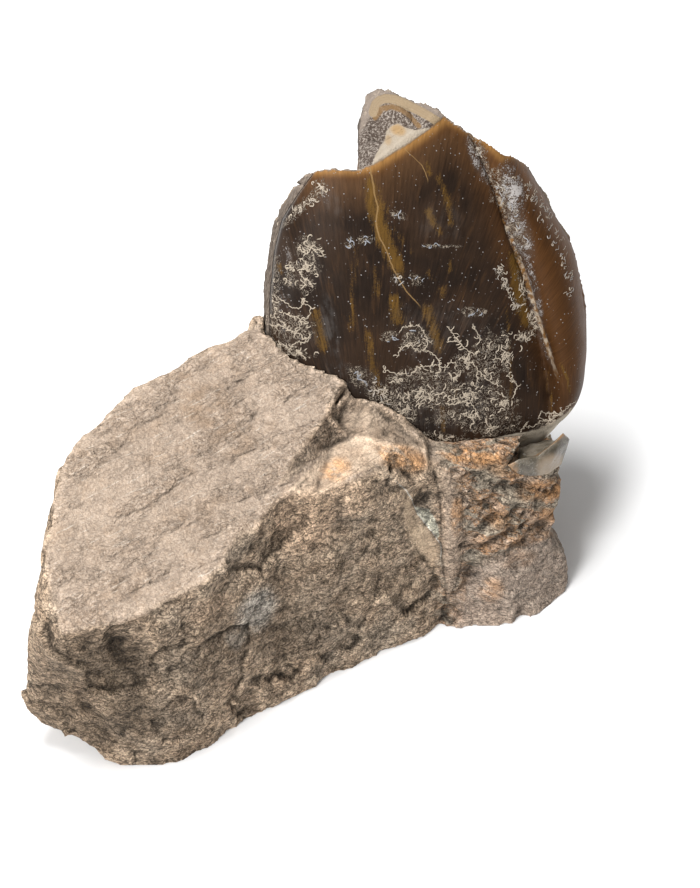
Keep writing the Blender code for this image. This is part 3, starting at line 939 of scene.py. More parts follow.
# Streaks: line, half width and strength. Patches: centre, half sizes, tilt and strength.
OCHRE_STREAKS = [
    ([(370, 172), (373, 200), (378, 225), (386, 245), (395, 262), (402, 284)], 7.5, 1.1),
    ([(385, 200), (386, 216)], 3, 0.6),
    ([(380, 247), (399, 250)], 2, 0.8),
    ([(313, 305), (318, 325), (326, 358)], 5, 0.95),
    ([(394, 292), (396, 310), (400, 330)], 6, 0.95),
    ([(356, 242), (352, 300), (352, 338)], 4, 0.55),
    ([(377, 262), (377, 300)], 4, 0.55),
    ([(366, 325), (372, 360), (380, 390), (390, 408)], 4.5, 0.75),
    ([(424, 300), (432, 325), (442, 358)], 6, 0.8),
    ([(443, 402), (443, 436)], 3, 0.7),
    ([(456, 385), (456, 398)], 3, 0.6),
    ([(425, 160), (431, 178)], 3.5, 0.6),
    ([(437, 172), (443, 190), (448, 205), (452, 234)], 4, 0.8),
    ([(424, 206), (434, 222), (443, 240)], 4, 0.7),
    ([(440, 285), (446, 300)], 5, 0.5),
    ([(450, 258), (450, 275)], 3.5, 0.6),
    ([(425, 270), (436, 284)], 4, 0.5),
    ([(392, 225), (403, 240), (414, 258)], 5, 0.5),
    ([(278, 262), (282, 276)], 3.5, 0.8),
    ([(546, 365), (550, 400), (553, 420)], 3, 0.55),
    ([(560, 362), (568, 380), (571, 398)], 1.6, 0.9),
    ([(506, 300), (509, 340), (512, 380), (508, 425)], 1.8, 0.6),
    ([(513, 246), (517, 285), (529, 335)], 6, 1.2),
]
BLOOM = [
    ((330, 330), (9, 40), -8, 0.9),
    ((300, 330), (26, 24), 0, 0.4),
    ((305, 265), (22, 30), 0, 0.4),
    ((345, 375), (26, 12), 35, 0.7),
    ((372, 385), (26, 14), 40, 0.6),
    ((440, 400), (70, 36), 0, 0.6),
    ((440, 330), (60, 30), 0, 0.35),
    ((335, 205), (10, 14), 0, 0.4),
    ((540, 320), (6, 40), -12, 0.4),
    ((405, 320), (10, 20), 0, 0.4),
    ((425, 350), (18, 16), 0, 0.5),
    ((440, 225), (25, 25), 0, 0.35),
]
DUST = [
    ((512, 190), (14, 34), -12, 1.0),
    ((520, 235), (14, 34), -14, 0.8),
    ((532, 290), (8, 50), -12, 0.75),
    ((545, 345), (5, 30), -20, 0.5),
    ((478, 160), (8, 30), -25, 0.8),
    ((325, 195), (8, 10), 0, 0.4),
    ((285, 290), (10, 60), 0, 0.35),
]
RIGHT_BASE = [
    (493, 438), (514, 434), (534, 430), (554, 422), (571, 409), (583, 396), (596, 370), (620, 380),
    (600, 440), (540, 470), (480, 462),
]
RIGHT_EDGE = [(519, 155), (533, 177), (554, 206), (570, 235), (583, 274), (589, 307), (594, 366)]
LEFT_SIDE = [
    (315, 170), (303, 185), (297, 193), (288, 206), (280, 219), (276, 235), (273, 248), (270.6, 269),
    (268, 302), (268, 345),
]
# Colours.
ENAMEL_SHADES = (0.015, 0.009, 0.006), (0.028, 0.0155, 0.009)
STREAK_BROWN = (0.052, 0.026, 0.012)
GLOW_BROWN = (0.085, 0.042, 0.018)
RIGHT_BROWN = (0.078, 0.031, 0.008)
EDGE_AMBER = (0.14, 0.055, 0.012)
AMBER_SHADES = (0.26, 0.13, 0.04), (0.09, 0.038, 0.012)
OCHRE = (0.115, 0.06, 0.012)
BLOOM_GREY = (0.072, 0.066, 0.062)
DUST_FILM = (0.06, 0.052, 0.047)
DUST_GREY = (0.38, 0.355, 0.34)
THREAD_SHADES = (0.16, 0.13, 0.10), (0.44, 0.37, 0.29)
GROOVE_SHADES = (0.17, 0.085, 0.028), (0.40, 0.33, 0.25)
CRACK_BROWN = (0.22, 0.135, 0.055)
BASE_SHADES = (0.33, 0.285, 0.22), (0.56, 0.49, 0.40)
SIDE_SHADES = (0.06, 0.045, 0.036), (0.21, 0.172, 0.14)
LIP_GREY = (0.22, 0.19, 0.16)
BACK_BROWN = (0.085, 0.068, 0.056)
WORN_SHADES = (0.13, 0.105, 0.085), (0.34, 0.28, 0.235)
WORN_GREY = (0.36, 0.295, 0.235)
TAN_SHADES = (0.13, 0.09, 0.06), (0.42, 0.335, 0.245)
TAN_GREY = (0.48, 0.43, 0.36)
PITTED_SHADES = (0.075, 0.056, 0.045), (0.34, 0.295, 0.255)
CREAM_SHADES = (0.27, 0.20, 0.125), (0.36, 0.295, 0.21)
DENTINE_SHADES = (0.39, 0.345, 0.285), (0.31, 0.245, 0.175)
DENTINE_ORANGE = (0.34, 0.215, 0.095)
RIM_BROWN = (0.20, 0.12, 0.055)


def make_tooth():
    tooth = Surface("tooth_surface", "tooth", TOOTH_VOXEL)
    to_edge = tooth.from_sharp()
    tooth.relax(45, share(to_edge, 0.3, 2.5))
    seen = tooth.seen(tooth.send())
    u, v = on_picture(tooth.points)
    high = share(in_crown(tooth.points)[1], 42, 46)
    tooth.relax(120, 0.8 * high * share(inside(u, v, CUSP_PIT), -0.5, 0.6))
    tooth.trim(CUSP_LEFT)
    tooth.trim(SHOULDER_LEFT)
    normals = tooth.send()
    at = tooth_parts(tooth.points, normals, seen)
    tooth.points += normals * tooth_relief(tooth, at)[:, None]
    tooth.send()
    mask_tooth(tooth, at, to_edge)
    tooth.piece.data.materials.append(tooth_material())
    return tooth


def tooth_parts(points, normals, seen):
    """Where each point lies on the tooth: its place, its share in a part, or its distance from a line."""
    x, h, d = in_crown(points)
    u, v = on_picture(points)
    groove = (x - np.interp(h, *zip(*GROOVE))) * 0.95
    top = share(normals @ AXIS, 0.36, 0.5) * share(h, 30, 40)
    top = np.maximum(top, seen * share(inside(u, v, CUSP_OUTLINE), -0.1, 0.3))
    top *= 1 - seen * share(groove, -1.5, 0)
    front = share(normals @ OUTWARD, -0.5, -0.15) * (1 - top)
    at = SimpleNamespace(x=x, h=h, d=d, u=u, v=v, seen=seen, top=top, front=front, groove=groove)
    at.arch, at.dentine = distance_from(u, v, CREAM_ARCH), inside(u, v, DENTINE)
    at.crack, at.side = beside(u, v, MIDDLE_CRACK), beside(u, v, LEFT_SIDE)
    return at


def tooth_relief(tooth, at):
    """How far the surface stands out from the smooth tooth, in millimetres."""
    points, wall = tooth.points, 1 - at.top
    grain, waves = Grain(21), Grain(22)
    arch = at.top * (1 - share(at.arch, 0.8, 1.3))
    patch = at.top * share(at.dentine, -0.2, 0.4)
    groove = np.exp(-((at.groove / 0.7) ** 2)) * at.front * share(at.h, 8, 20)
    height = wall * 0.22 * waves.fractal(points, 9, 2) - 0.45 * groove + 0.25 * arch
    height += at.top * (1 - arch) * (1 - patch) * (0.5 * grain.fractal(points, 1.6, 3) - 0.15)
    height += patch * 0.12 * grain.fractal(points, 2, 2)
    hidden = (1 - at.seen) * share(at.h, 16, 24)
    height += hidden * (1.1 * tooth.flakes(waves, 6, 4) + 0.5 * (grain.billows(points, 3, 3) - 0.3))
    crack_lip = share(at.crack, -0.3, 0.3) * (1 - share(at.crack, 1, 6))
    height += 0.1 * at.front * crack_lip * share(at.h, 25, 35)
    on_left = at.seen * share(-at.x, 8, 14) * wall
    height -= 0.35 * on_left * np.exp(-(((at.side - 0.1) / 0.5) ** 2))
    fibres = 0.6 + grain.fractal(points * (1, 1, 0.3), 1.2, 3)
    return height - 0.25 * on_left * (1 - share(at.side, -0.4, 0.2)) * fibres


def mask_tooth(tooth, at, to_edge):
    """Stores the masks that the tooth's material reads."""
    u, v, h, front, seen = at.u, at.v, at.h, at.front, at.seen
    fan = (at.x - FAN_MIDDLE) / (1 + np.maximum(h - FAN_FROM, 0) / FAN_LENGTH)
    patches = hills(u, v, [(centre, half, tilt, 1.0) for centre, half, tilt, _, _ in CRUST_PATCHES])
    tooth.paint(
        fan=np.stack([1.5 * fan, h, at.d], 1),
        top=at.top,
        front=front,
        height=h,
        arch=at.arch,
        brown_rim=distance_from(u, v, BROWN_RIM),
        dentine=at.dentine,
        dark_zone=inside(u, v, DARK_ZONE),
        orange_dentine=blobs(u, v, ORANGE_DENTINE) * at.top,
        groove=at.groove,
        middle_crack=at.crack,
        middle_crack_run=share(v, 165, 168) * (1 - share(v, 300, 310)) * front,
        side_crack=beside(u, v, SIDE_CRACK),
        side_crack_run=share(v, 146, 148) * (1 - share(v, 176, 184)) * front,
        ochre=streaks(u, v, OCHRE_STREAKS) * front,
        bloom=blobs(u, v, BLOOM) * front,
        dust=blobs(u, v, DUST) * front,
        base=np.where(seen > SEEN_FROM, inside(u, v, RIGHT_BASE), 1.5 - h),
        rim=np.where(front > 0.3, distance_from(u, v, FRONT_RIM), to_edge),
        right_edge=distance_from(u, v, RIGHT_EDGE) + 9 * (1 - front),
        side=at.side + 4 * (1 - seen) * (at.x > -20),
        upper=share(h, 30, 45) * front,
        seen=seen,
        crust=patches * seen + (1 - seen) * 0.6 * np.exp(-(((h - 4) / 12) ** 2)),
    )


class EnamelPaint(Paint):
    """The tooth's material, with the grains and masks that its parts share."""

    def __init__(self):
        super().__init__("enamel")
        fan = self.mask("fan", "Vector")
        self.lines = self.noise(0.42, 3, 0.6, place=self.stretched((1, 0.09, 0.1), fan), distortion=0.25)
        self.fine_lines = self.noise(0.24, 2, 0.6, place=self.stretched((1, 0.07, 0.1), fan))
        self.streaky = self.noise(1.1, 4, 0.65, place=self.stretched((1, 0.16, 0.2), fan), distortion=0.3)
        self.middle = self.noise(1.8, 4, 0.6)
        self.speckle = self.noise(0.3, 3, 0.7)
        self.top, self.front, self.seen = self.mask("top"), self.mask("front"), self.mask("seen")
        self.height, self.groove, self.to_side = self.mask("height"), self.mask("groove"), self.mask("side")
        self.base = (self.mask("base") + self.middle * 0.5).step(0.15, 0.45)
        self.side = (self.to_side + (self.middle - 0.5) * 0.2).step(0.0, -0.12) * (1.0 - self.top)
        frayed = self.streaky * 1.6 + self.speckle * 1.3 + self.lines * 0.9
        self.ochre = (self.mask("ochre") + (frayed - 1.92)).step(0.3, 1.0)
        self.dusty = self.dust()
        self.threads = self.crust_threads()

    def dust(self):
        """Light flecks and dust."""
        dust = self.mask("dust")
        dots = self.cells(0.85).step(0.2, 0.09) * self.noise(1.7, 2).step(0.49, 0.57)
        strokes = self.streaky.step(0.64, 0.70) * self.speckle.step(0.5, 0.6) * dust.step(0.0, 0.5)
        grain = (self.speckle * 0.4 + self.streaky * 0.3 + self.middle * 0.3 + dust * 0.1).step(0.59, 0.62)
        crumbs = self.cells(0.5).step(0.26, 0.16) * self.middle.step(0.44, 0.54) * dust.step(0.1, 0.5)
        return self.most(self.most(self.most(dust * grain, crumbs), dots * 0.75), strokes)

    def crust_threads(self):
        """The crust's finer threads, under its strands: they curl along a noise's level lines."""
        curls = abs(self.noise(1.25, 2, 0.6, distortion=0.6) - 0.5)
        fine_curls = abs(self.noise(0.8, 2, 0.6, distortion=0.6) - 0.5)
        threads = self.most(curls.step(0.026, 0.013), fine_curls.step(0.024, 0.012))
        threads = self.most(threads, self.cells(0.55).step(0.22, 0.12) * 0.75)
        patchy = (self.mask("crust") + (self.noise(1.6, 4, 0.65) - 0.5) * 1.6).step(0.30, 0.55)
        return threads * patchy * self.speckle.step(0.34, 0.46)

    def brown_enamel(self):
        """Dark brown enamel, lighter to the right, with an amber rim, ochre stains and a grey bloom."""
        rim = self.mask("rim")
        near_rim = (rim + (self.lines - 0.5) * 3.2 + self.middle * 0.8).step(3.6, 0.6)
        bloom_grain = (self.streaky * 0.6 + self.middle * 0.4).step(0.42, 0.62)
        return self.mix(self.noise(9, 3, 0.5).step(0.35, 0.65), *ENAMEL_SHADES).coated(
            (STREAK_BROWN, self.streaky.step(0.5, 0.72) * 0.6),
            (GLOW_BROWN, rim.step(11, 1) * self.mask("upper") * 0.8),
            (RIGHT_BROWN, self.groove.step(-7, 3) * 0.7),
            (EDGE_AMBER, self.mask("right_edge").step(5, 0.5) * 0.8),
            (self.mix(rim.step(0.1, 2.2), *AMBER_SHADES), self.height.step(34, 46) * near_rim * 0.95),
            (OCHRE, self.ochre * 0.85),
            (BLOOM_GREY, self.mask("bloom") * bloom_grain * 0.6),
        )

    def enamel(self):
        """Brown enamel with its fine lines, under dust, the crust's threads, the groove with painted shade
        beside it, and the cracks.
        """
        wander = self.groove + (self.middle - 0.5) * 1.1
        seam = abs(wander).step(0.55, 0.2) * self.front * self.height.step(8, 20)
        seam = seam * (self.noise(1.1, 3, 0.65) + self.height * -0.008).step(0.12, 0.24)
        # Painted shade in a line beside the groove.
        groove_side_shade = abs(wander + 0.5).step(0.22, 0.08) * self.front * self.height.step(20, 30)
        lined = self.shade(self.brown_enamel(), (0.40 + self.lines) * (0.65 + self.fine_lines * 0.7))
        brown = lined.coated(
            (DUST_FILM, self.mask("dust") * 0.4),
            (DUST_GREY, self.dusty * 0.85),
            (self.mix(self.speckle, *THREAD_SHADES), self.threads * 0.9),
            (self.mix(self.noise(1.4, 3).step(0.42, 0.6), *GROOVE_SHADES), seam * 0.9),
        )
        brown = self.shade(brown, 1.0 - groove_side_shade * 0.45)
        for name, width in (("middle_crack", 0.2), ("side_crack", 0.12)):
            line = abs(self.mask(name) + (self.middle - 0.5) * 0.5).step(width, width * 0.45)
            brown = brown.toward(CRACK_BROWN, line * self.mask(name + "_run") * 0.8)
        return brown

    def crown_walls(self):
        """The enamel with the pale base, the crown's broken left side with painted shade along its edge,
        and its unseen back.
        """
        fibres = self.noise(0.5, 4, 0.7, place=self.stretched((1, 1, 0.15))).step(0.35, 0.65)
        lip = abs(self.to_side - 0.3).step(0.22, 0.08) * self.speckle.step(0.4, 0.6) * self.seen * 0.6
        walls = self.enamel().coated(
            (self.mix(self.middle, *BASE_SHADES), self.base),
            (self.mix(fibres, *SIDE_SHADES), self.side),
            (LIP_GREY, lip * (1.0 - self.top)),
        )
        # Painted shade in the groove along the left side's edge.
        walls = self.shade(walls, 1.0 - abs(self.to_side).step(0.16, 0.05) * self.seen * 0.75)
        return walls.toward(BACK_BROWN, (1.0 - self.front) * self.to_side.step(0.0, 0.6) * 0.45)

    def worn_top(self):
        """The worn and broken top: grey enamel, tan behind, a cream arch and brown dentine."""
        tan = self.mix(self.noise(5, 5, 0.65).step(0.40, 0.58), *TAN_SHADES)
        tan = tan.toward(TAN_GREY, self.middle.step(0.54, 0.66) * 0.6)
        arch = self.mask("arch")
        bands = self.math("PINGPONG", arch + self.noise(1.2, 3, 0.6) * 0.4, 0.22)
        rim = (self.mask("brown_rim") + (self.middle - 0.5) * 0.5).step(0.7, 0.3)
        pitted = self.mix(self.noise(0.5, 3, 0.75).step(0.45, 0.64), *PITTED_SHADES)
        dentine = self.mix(self.middle, *DENTINE_SHADES)
        dentine = dentine.toward(DENTINE_ORANGE, self.mask("orange_dentine") * 0.8)
        return self.mix(self.speckle, *WORN_SHADES).coated(
            (WORN_GREY, self.middle.step(0.52, 0.66)),
            (tan, (1.0 - self.seen) * 0.9),
            (pitted, self.mask("dark_zone").step(-0.3, 0.4)),
            (RIM_BROWN, rim * 0.8),
            (self.mix(bands, *CREAM_SHADES), (arch + self.middle * 0.3).step(1.15, 0.95)),
            (dentine, (self.mask("dentine") + self.middle * 0.5).step(0.1, 0.4)),
        )


def tooth_material():
    paint = EnamelPaint()
    matt = paint.most(paint.top, paint.most(paint.side, paint.base))
    paint.set(Base_Color=paint.crown_walls().toward(paint.worn_top(), paint.top))
    paint.set(Roughness=0.42 + paint.middle * 0.12 + paint.dusty * 0.3 + matt * 0.35)
    paint.set(Specular_IOR_Level=0.08 - matt * 0.06)
    paint.relief(
        (paint.lines + paint.dusty * 1.5, 0.06),
        (paint.threads, 0.12),
        ((paint.top + paint.side) * paint.noise(0.5, 3, 0.7), 0.35),
        (paint.ochre * paint.speckle, 0.08),
    )
    return paint.material


# ---------------------------------------------------------------- the chalcedony nodule

# The upper edge on the picture, and how far at most the nodule is pressed down to it.
NODULE_TOP = [(495, 472), (506, 466), (520, 459), (538, 456), (556, 441), (563, 433), (572, 440)]
NODULE_MOST = 18
NODULE_BEIGE = [((552, 466), (18, 13), -20, 1.0)]
NODULE_RUST = [((548, 441), (22, 5), -25, 1.0), ((512, 470), (8, 10), 0, 0.7)]
# Colours.
CLOUD_SHADES = (0.062, 0.050, 0.034), (0.15, 0.128, 0.098)
CLOUD_THREAD = (0.30, 0.28, 0.24)
CLOUD_BEIGE = (0.27, 0.20, 0.13)
CLOUD_RUST = (0.30, 0.15, 0.05)


def make_nodule():
    nodule = Surface("nodule_surface", "chalcedony", NODULE_VOXEL)
    nodule.relax(14, blend(0.35, 1, share(nodule.from_sharp(), 0.2, 1.4)))
    normals = nodule.send()
    grain = Grain(31)
    height = 0.28 * grain.fractal(nodule.points, 4.5, 2) + 0.05 * grain.fractal(nodule.points, 1.1, 2)
    nodule.points += normals * height[:, None]
    u, v = on_picture(nodule.points)
    limit = np.interp(u, *zip(*NODULE_TOP))
    nodule.points[:, 2] -= PIXEL * np.clip(1.3 * (limit - v), 0, NODULE_MOST)
    nodule.send()
    nodule.paint(beige=blobs(u, v, NODULE_BEIGE), rust=blobs(u, v, NODULE_RUST))
    nodule.piece.data.materials.append(nodule_material())


def nodule_material():
    paint = Paint("chalcedony")
    clouds = paint.noise(3.5, 4, 0.6, distortion=1.2)
    threads = paint.noise(1.1, 3, 0.6, distortion=2.5)
    colour = paint.mix(clouds.step(0.35, 0.65), *CLOUD_SHADES).coated(
        (CLOUD_THREAD, threads.step(0.56, 0.66) * 0.5),
        (CLOUD_BEIGE, paint.mask("beige") * 0.8),
        (CLOUD_RUST, paint.mask("rust") * clouds.step(0.35, 0.55) * 0.75),
    )
    paint.set(Base_Color=colour, Roughness=0.22 + clouds * 0.2)
    paint.set(Subsurface_Weight=0.55, Subsurface_Radius=(1.0, 0.95, 0.8), Subsurface_Scale=0.003)
    paint.relief((threads, 0.08))
    return paint.material


# ---------------------------------------------------------------- the crust on the enamel

CRUST_STEP = 0.2  # from ring to ring of a strand
CRUST_SIDES = 6
# Strands that stand out, as lines on the picture.
CLEAR_STRANDS = [
    [(279, 298), (286, 303), (292, 307), (298, 309), (303, 304), (305, 301), (301, 298)],
    [(305, 303), (311, 308), (310, 314), (308, 318), (303, 320), (297, 317), (292, 316), (285, 314)],
    [(269, 324), (275, 326), (283, 326), (288, 330), (296, 333), (300, 328), (300, 320), (306, 324)],
    [(300, 333), (303, 338), (303, 340), (311, 336)],
    [(268, 347), (276, 347), (280, 344), (285, 345), (289, 350), (293, 345), (298, 342), (306, 342),
     (311, 337)],
    [(288, 352), (294, 355), (300, 352), (303, 356), (306, 360)],
    [(397, 358), (400, 350), (404, 346), (410, 345), (414, 349), (419, 351), (424, 350), (428, 345),
     (427, 338), (423, 330), (418, 325), (411, 326), (404, 327), (399, 332)],
    [(424, 350), (430, 352), (436, 357), (439, 361), (440, 370)],
    [(382, 368), (390, 372), (396, 374), (403, 373), (410, 376), (413, 372), (420, 367), (430, 366),
     (438, 365)],
    [(447, 326), (452, 332), (456, 339), (462, 345), (468, 351), (474, 355), (479, 352)],
    [(446, 342), (455, 341), (460, 344)],
    [(473, 324), (475, 329), (479, 336), (480, 341), (476, 346)],
    [(462, 356), (466, 362), (472, 363), (478, 369), (484, 377), (490, 382), (496, 384), (500, 380)],
    [(438, 366), (446, 368), (450, 362), (456, 363), (455, 369)],
    [(449, 372), (452, 378), (458, 377), (461, 372)],
    [(509, 378), (514, 380), (517, 386), (515, 393), (512, 399)],
    [(538, 419), (541, 411), (548, 414), (555, 412), (560, 416), (566, 409), (572, 404), (580, 399)],
    [(520, 431), (525, 426), (533, 427), (540, 421), (548, 421), (556, 417), (562, 412)],
    [(300, 258), (306, 262), (303, 268), (300, 274), (304, 279), (310, 281), (312, 286)],
    [(303, 243), (309, 247), (316, 250), (322, 251), (324, 257)],
    [(446, 403), (455, 405), (464, 401), (472, 405), (477, 410)],
    [(461, 413), (468, 416), (476, 413), (480, 418)],
]
# Patches full of strands: centre, half sizes, tilt, strands, tint (0 cream, 1 blue-grey).
CRUST_PATCHES = [
    ((309, 250), (13, 11), 0, 34, 0),
    ((308, 267), (12, 10), 0, 34, 0),
    ((307, 286), (8, 9), 0, 14, 0),
    ((292, 270), (6, 12), 0, 14, 0),
    ((290, 282), (10, 5), 0, 10, 0),
    ((304, 205), (30, 5), -43, 34, 0.2),
    ((320, 187), (6, 8), 0, 16, 0.2),
    ((275, 300), (5, 45), 0, 26, 0.1),
    ((273, 313), (5, 8), 0, 14, 0),
    ((292, 328), (20, 14), 0, 24, 0),
    ((292, 350), (20, 6), 20, 16, 0),
    ((358, 376), (14, 9), 40, 22, 0.7),
    ((380, 392), (24, 10), 40, 46, 0.3),
    ((400, 380), (14, 6), 0, 16, 0.1),
    ((425, 396), (34, 12), 0, 110, 0.1),
    ((470, 394), (34, 12), 0, 90, 0),
    ((505, 404), (14, 8), -10, 44, 0),
    ((405, 412), (14, 10), 30, 24, 0),
    ((475, 418), (44, 10), 0, 44, 0),
    ((490, 429), (26, 7), 0, 34, 0),
    ((440, 438), (40, 5), 5, 40, 0),
    ((485, 372), (18, 12), 20, 26, 0),
    ((492, 350), (16, 18), 0, 28, 0.2),
    ((468, 362), (16, 12), 0, 24, 0.1),
    ((436, 376), (26, 8), 5, 24, 0.2),
    ((418, 340), (16, 12), 0, 10, 0.3),
    ((506, 352), (5, 22), 0, 54, 0.1),
    ((500, 272), (4, 5), 0, 26, 0.3),
    ((505, 284), (4, 6), -20, 22, 0.3),
    ((512, 296), (3, 6), -20, 14, 0.3),
    ((517, 307), (4, 5), 0, 18, 0.3),
    ((522, 287), (2.5, 22), -15, 34, 0.05),
    ((532, 325), (3.5, 14), -15, 26, 0.05),
    ((524, 336), (9, 5), -20, 40, 0),
    ((534, 322), (4, 12), -10, 10, 0),
    ((548, 424), (40, 4), -30, 34, 0),
    ((350, 243), (5, 5), 0, 7, 1),
    ((365, 240), (9, 4), 0, 8, 1),
    ((440, 246), (20, 2), 0, 9, 1),
    ((398, 279), (6, 6), 0, 9, 0.4),
    ((416, 280), (8, 5), 30, 6, 1),
    ((398, 215), (9, 4), 20, 6, 1),
    ((475, 312), (14, 5), 0, 10, 0.9),
    ((390, 336), (10, 5), -20, 8, 1),
    ((500, 190), (10, 22), -20, 30, 0.5),
    ((515, 225), (8, 26), -18, 24, 0.5),
    ((480, 150), (6, 18), -25, 16, 0.3),
]
# Short strokes that slant beside the right edge.
STROKE_LINE = [(524, 178), (543, 205), (557, 232), (568, 262), (577, 300)]
STROKES = 60
BACK_STRANDS = 900  # tried at the crown's back; most grow in clumps near its foot
STRAND_SHARE = 0.5  # of each patch's strands
STRAND_WIDTHS = (0.16, 0.28)
CLEAR_WIDTH = 0.2
TWIG_CHANCE = 0.25
# Colours.
CREAM_CRUST = (0.22, 0.178, 0.13), (0.50, 0.425, 0.335)
BLUE_CRUST = (0.15, 0.155, 0.17), (0.33, 0.34, 0.37)


class Crust:
    """Thin mineral strands that creep over a surface, as one mesh."""

    def __init__(self, tree, seed):
        self.tree = tree
        self.random = np.random.default_rng(seed)
        self.points, self.faces, self.tints = [], [], []

    def ground(self, place):
        spot, normal, _, _ = self.tree.find_nearest(Vector(place))
        return np.array(spot), np.array(normal)

    def seen(self, u, v):
        spot, normal, _, _ = self.tree.ray_cast(Vector(EYE), Vector(sight_line(u, v)))
        return None if spot is None else (np.array(spot), np.array(normal))

    def strand(self, path, width, tint):
        """A flat tube that tapers to both ends."""
        if len(path) < 3:
            return
        places = np.array([p for p, _ in path])
        ways = np.gradient(places, axis=0)
        first = len(self.points)
        last = len(path) - 1
        for index, ((place, normal), way) in enumerate(zip(path, ways)):
            across = np.cross(normal, way)
            across /= np.linalg.norm(across) + 1e-9
            swell = min(1, 0.55 + 0.3 * min(index, last - index))
            size = width * swell * (0.75 + 0.5 * self.random.random())
            for side in range(CRUST_SIDES):
                c, s = turn(360 * side / CRUST_SIDES)
                self.points.append(place + size * (c / 2 * across + (0.36 * s + 0.12) * normal))
                self.tints.append(tint)
            if index:
                ring, back = first + index * CRUST_SIDES, first + (index - 1) * CRUST_SIDES
                for side in range(CRUST_SIDES):
                    after = (side + 1) % CRUST_SIDES
                    self.faces.append((back + side, back + after, ring + after, ring + side))
        self.faces.append(tuple(first + side for side in reversed(range(CRUST_SIDES))))
        self.faces.append(tuple(first + last * CRUST_SIDES + side for side in range(CRUST_SIDES)))

    def wander(self, place, normal, length, width, tint):
        """A strand that winds over the surface from a place."""
        way = np.cross(normal, self.random.normal(size=3))
        bend, path = 0, []
        for _ in range(max(4, round(length / CRUST_STEP))):
            path.append((place, normal))
            way -= normal * (way @ normal)
            way /= np.linalg.norm(way) + 1e-9
            bend = 0.88 * bend + 0.3 * self.random.normal()
            way = math.cos(bend) * way + math.sin(bend) * np.cross(normal, way)
            place, normal = self.ground(place + way * CRUST_STEP)
        self.strand(path, width, tint)

    def follow(self, corners, width, tint):
        """A strand along a line on the picture."""
        corners = np.array(corners, float)
        starts = run_along(corners)
        count = max(4, round(starts[-1] / 1.15))
        path = []
        for run in np.linspace(0, starts[-1], count):
            place = [np.interp(run, starts, column) + 0.6 * self.random.normal() for column in corners.T]
            found = self.seen(*place)
            if found:
                path.append(found)
                if self.random.random() < TWIG_CHANCE:
                    length, twig = self.random.uniform(0.5, 1.6), self.random.uniform(*STRAND_WIDTHS)
                    self.wander(*found, length, twig, tint)
        self.strand(path, width, tint)

    def patch(self, centre, half, tilt, count, tint):
        c, s = turn(tilt)
        for _ in range(round(count * STRAND_SHARE)):
            radius, angle = 0.62 * abs(self.random.normal()), 2 * math.pi * self.random.random()
            along, across = half[0] * radius * math.cos(angle), half[1] * radius * math.sin(angle)
            found = self.seen(centre[0] + c * along - s * across, centre[1] + s * along + c * across)
            length = self.random.uniform(0.7, 2.2)
            width = self.random.uniform(*STRAND_WIDTHS)
            if found:
                self.wander(*found, length, width, tint + self.random.uniform(-0.1, 0.25))

    def strokes(self, corners, count):
        """Short slanting strands strewn to the left of a line on the picture."""
        corners = np.array(corners, float)
        for _ in range(count):
            run = self.random.uniform(0, len(corners) - 1)
            u = np.interp(run, range(len(corners)), corners[:, 0]) - 13 * self.random.random() ** 1.5
            v = np.interp(run, range(len(corners)), corners[:, 1])
            length = self.random.uniform(2, 5)
            end = (u + 0.6 * length, v - 0.8 * length)
            self.follow([(u, v), end], self.random.uniform(0.12, 0.22), self.random.uniform(0.2, 0.6))

    def finish(self, name):
        mesh = bpy.data.meshes.new(name)
        mesh.from_pydata([tuple(p * MM) for p in self.points], [], self.faces)
        attribute = mesh.attributes.new("tint", "FLOAT", "POINT")
        attribute.data.foreach_set("value", np.array(self.tints, np.float32))
        mesh.shade_smooth()
        piece = placed(name, mesh)
        piece.data.materials.append(crust_material())
        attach(piece, "root")


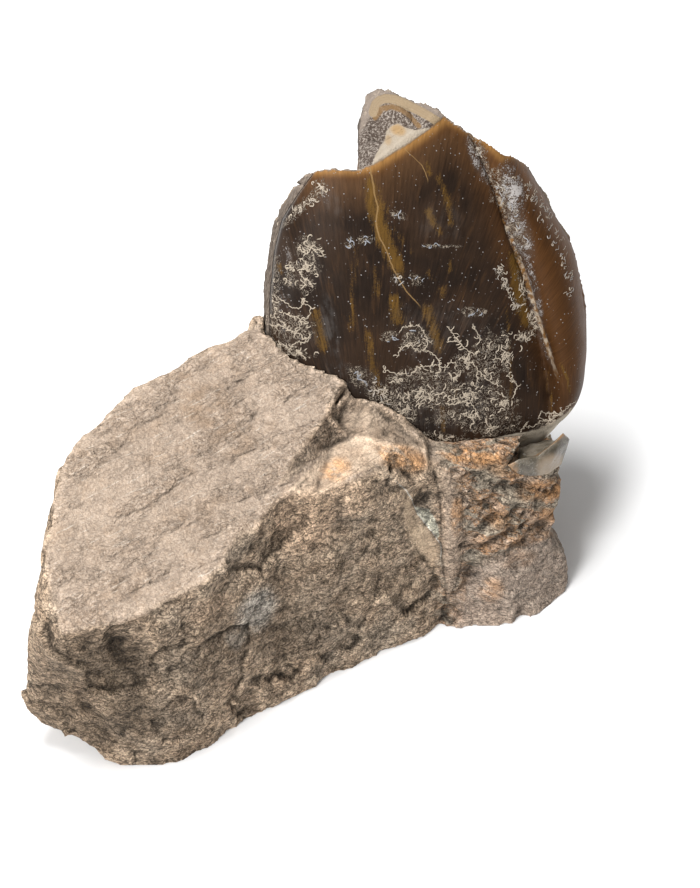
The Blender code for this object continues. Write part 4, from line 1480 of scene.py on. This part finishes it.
def make_crust(tooth, tree):
    crust = Crust(tree, 41)
    for corners in CLEAR_STRANDS:
        crust.follow(corners, CLEAR_WIDTH, crust.random.uniform(-0.1, 0.15))
    for centre, half, tilt, count, tint in CRUST_PATCHES:
        crust.patch(centre, half, tilt, count, tint)
    crust.strokes(STROKE_LINE, STROKES)
    _, h, _ = in_crown(tooth.points)
    normals = tooth.send()
    behind = np.flatnonzero((normals @ OUTWARD < -0.2) & (h > 2) & (h < 50))
    chosen = crust.random.choice(behind, BACK_STRANDS)
    low = np.exp(-((h[chosen] - 4) / 16) ** 2)
    clump = share(Grain(42).fractal(tooth.points[chosen], 9, 3), -0.05, 0.25)
    for index, near in zip(chosen, clump * (0.3 + low)):
        if crust.random.random() < near:
            length, width = crust.random.uniform(0.8, 3.0), crust.random.uniform(*STRAND_WIDTHS)
            crust.wander(tooth.points[index], normals[index], length, width, crust.random.uniform(0, 0.4))
    crust.finish("crown_crust")


def crust_material():
    paint = Paint("crust")
    grain = paint.noise(0.35, 3, 0.6)
    cream = paint.mix(grain, *CREAM_CRUST)
    blue = paint.mix(grain, *BLUE_CRUST)
    paint.set(Base_Color=paint.mix(paint.mask("tint").step(0.25, 0.9), cream, blue))
    paint.set(Roughness=0.7 + grain * 0.25)
    paint.relief((grain, 0.06))
    return paint.material


# ---------------------------------------------------------------- floor, light and camera


def make_stage():
    bpy.ops.mesh.primitive_plane_add(size=4)
    floor = bpy.context.object
    floor.name = "floor"
    paint = Paint("floor")
    paint.set(Base_Color=(0.92, 0.92, 0.92), Roughness=0.9, Specular_IOR_Level=0.1)
    floor.data.materials.append(paint.material)
    world = bpy.data.worlds.new("studio")
    bpy.context.scene.world = world
    world.use_nodes = True
    background = world.node_tree.nodes["Background"]
    background.inputs["Color"].default_value = (1, 1, 1, 1)
    background.inputs["Strength"].default_value = 0.36


def add_light(name, place, target, size, power):
    data = bpy.data.lights.new(name, "AREA")
    data.shape = "DISK"
    data.size = size
    data.energy = power
    light = placed(name, data)
    light.location = place
    light.rotation_euler = (Vector(target) - Vector(place)).to_track_quat("-Z", "Y").to_euler()


def make_camera():
    data = bpy.data.cameras.new("camera")
    data.lens = LENS
    data.sensor_width = SENSOR
    camera = placed("camera", data)
    camera.location = EYE * MM
    camera.rotation_euler = (math.pi / 2 - ELEVATION, 0, 0)
    bpy.context.scene.camera = camera
    bpy.context.scene.view_settings.view_transform = "Standard"


make_camera()
make_stage()
add_light("key", (-0.18, 0.05, 0.80), (0, 0, 0.04), 0.35, 6.5)
add_light("front", (-0.45, -0.72, 0.55), (0, 0, 0.05), 0.36, 10)

tooth = make_tooth()
tooth_tree = tooth.tree()
make_rock(tooth_tree)
make_nodule()
make_crust(tooth, tooth_tree)
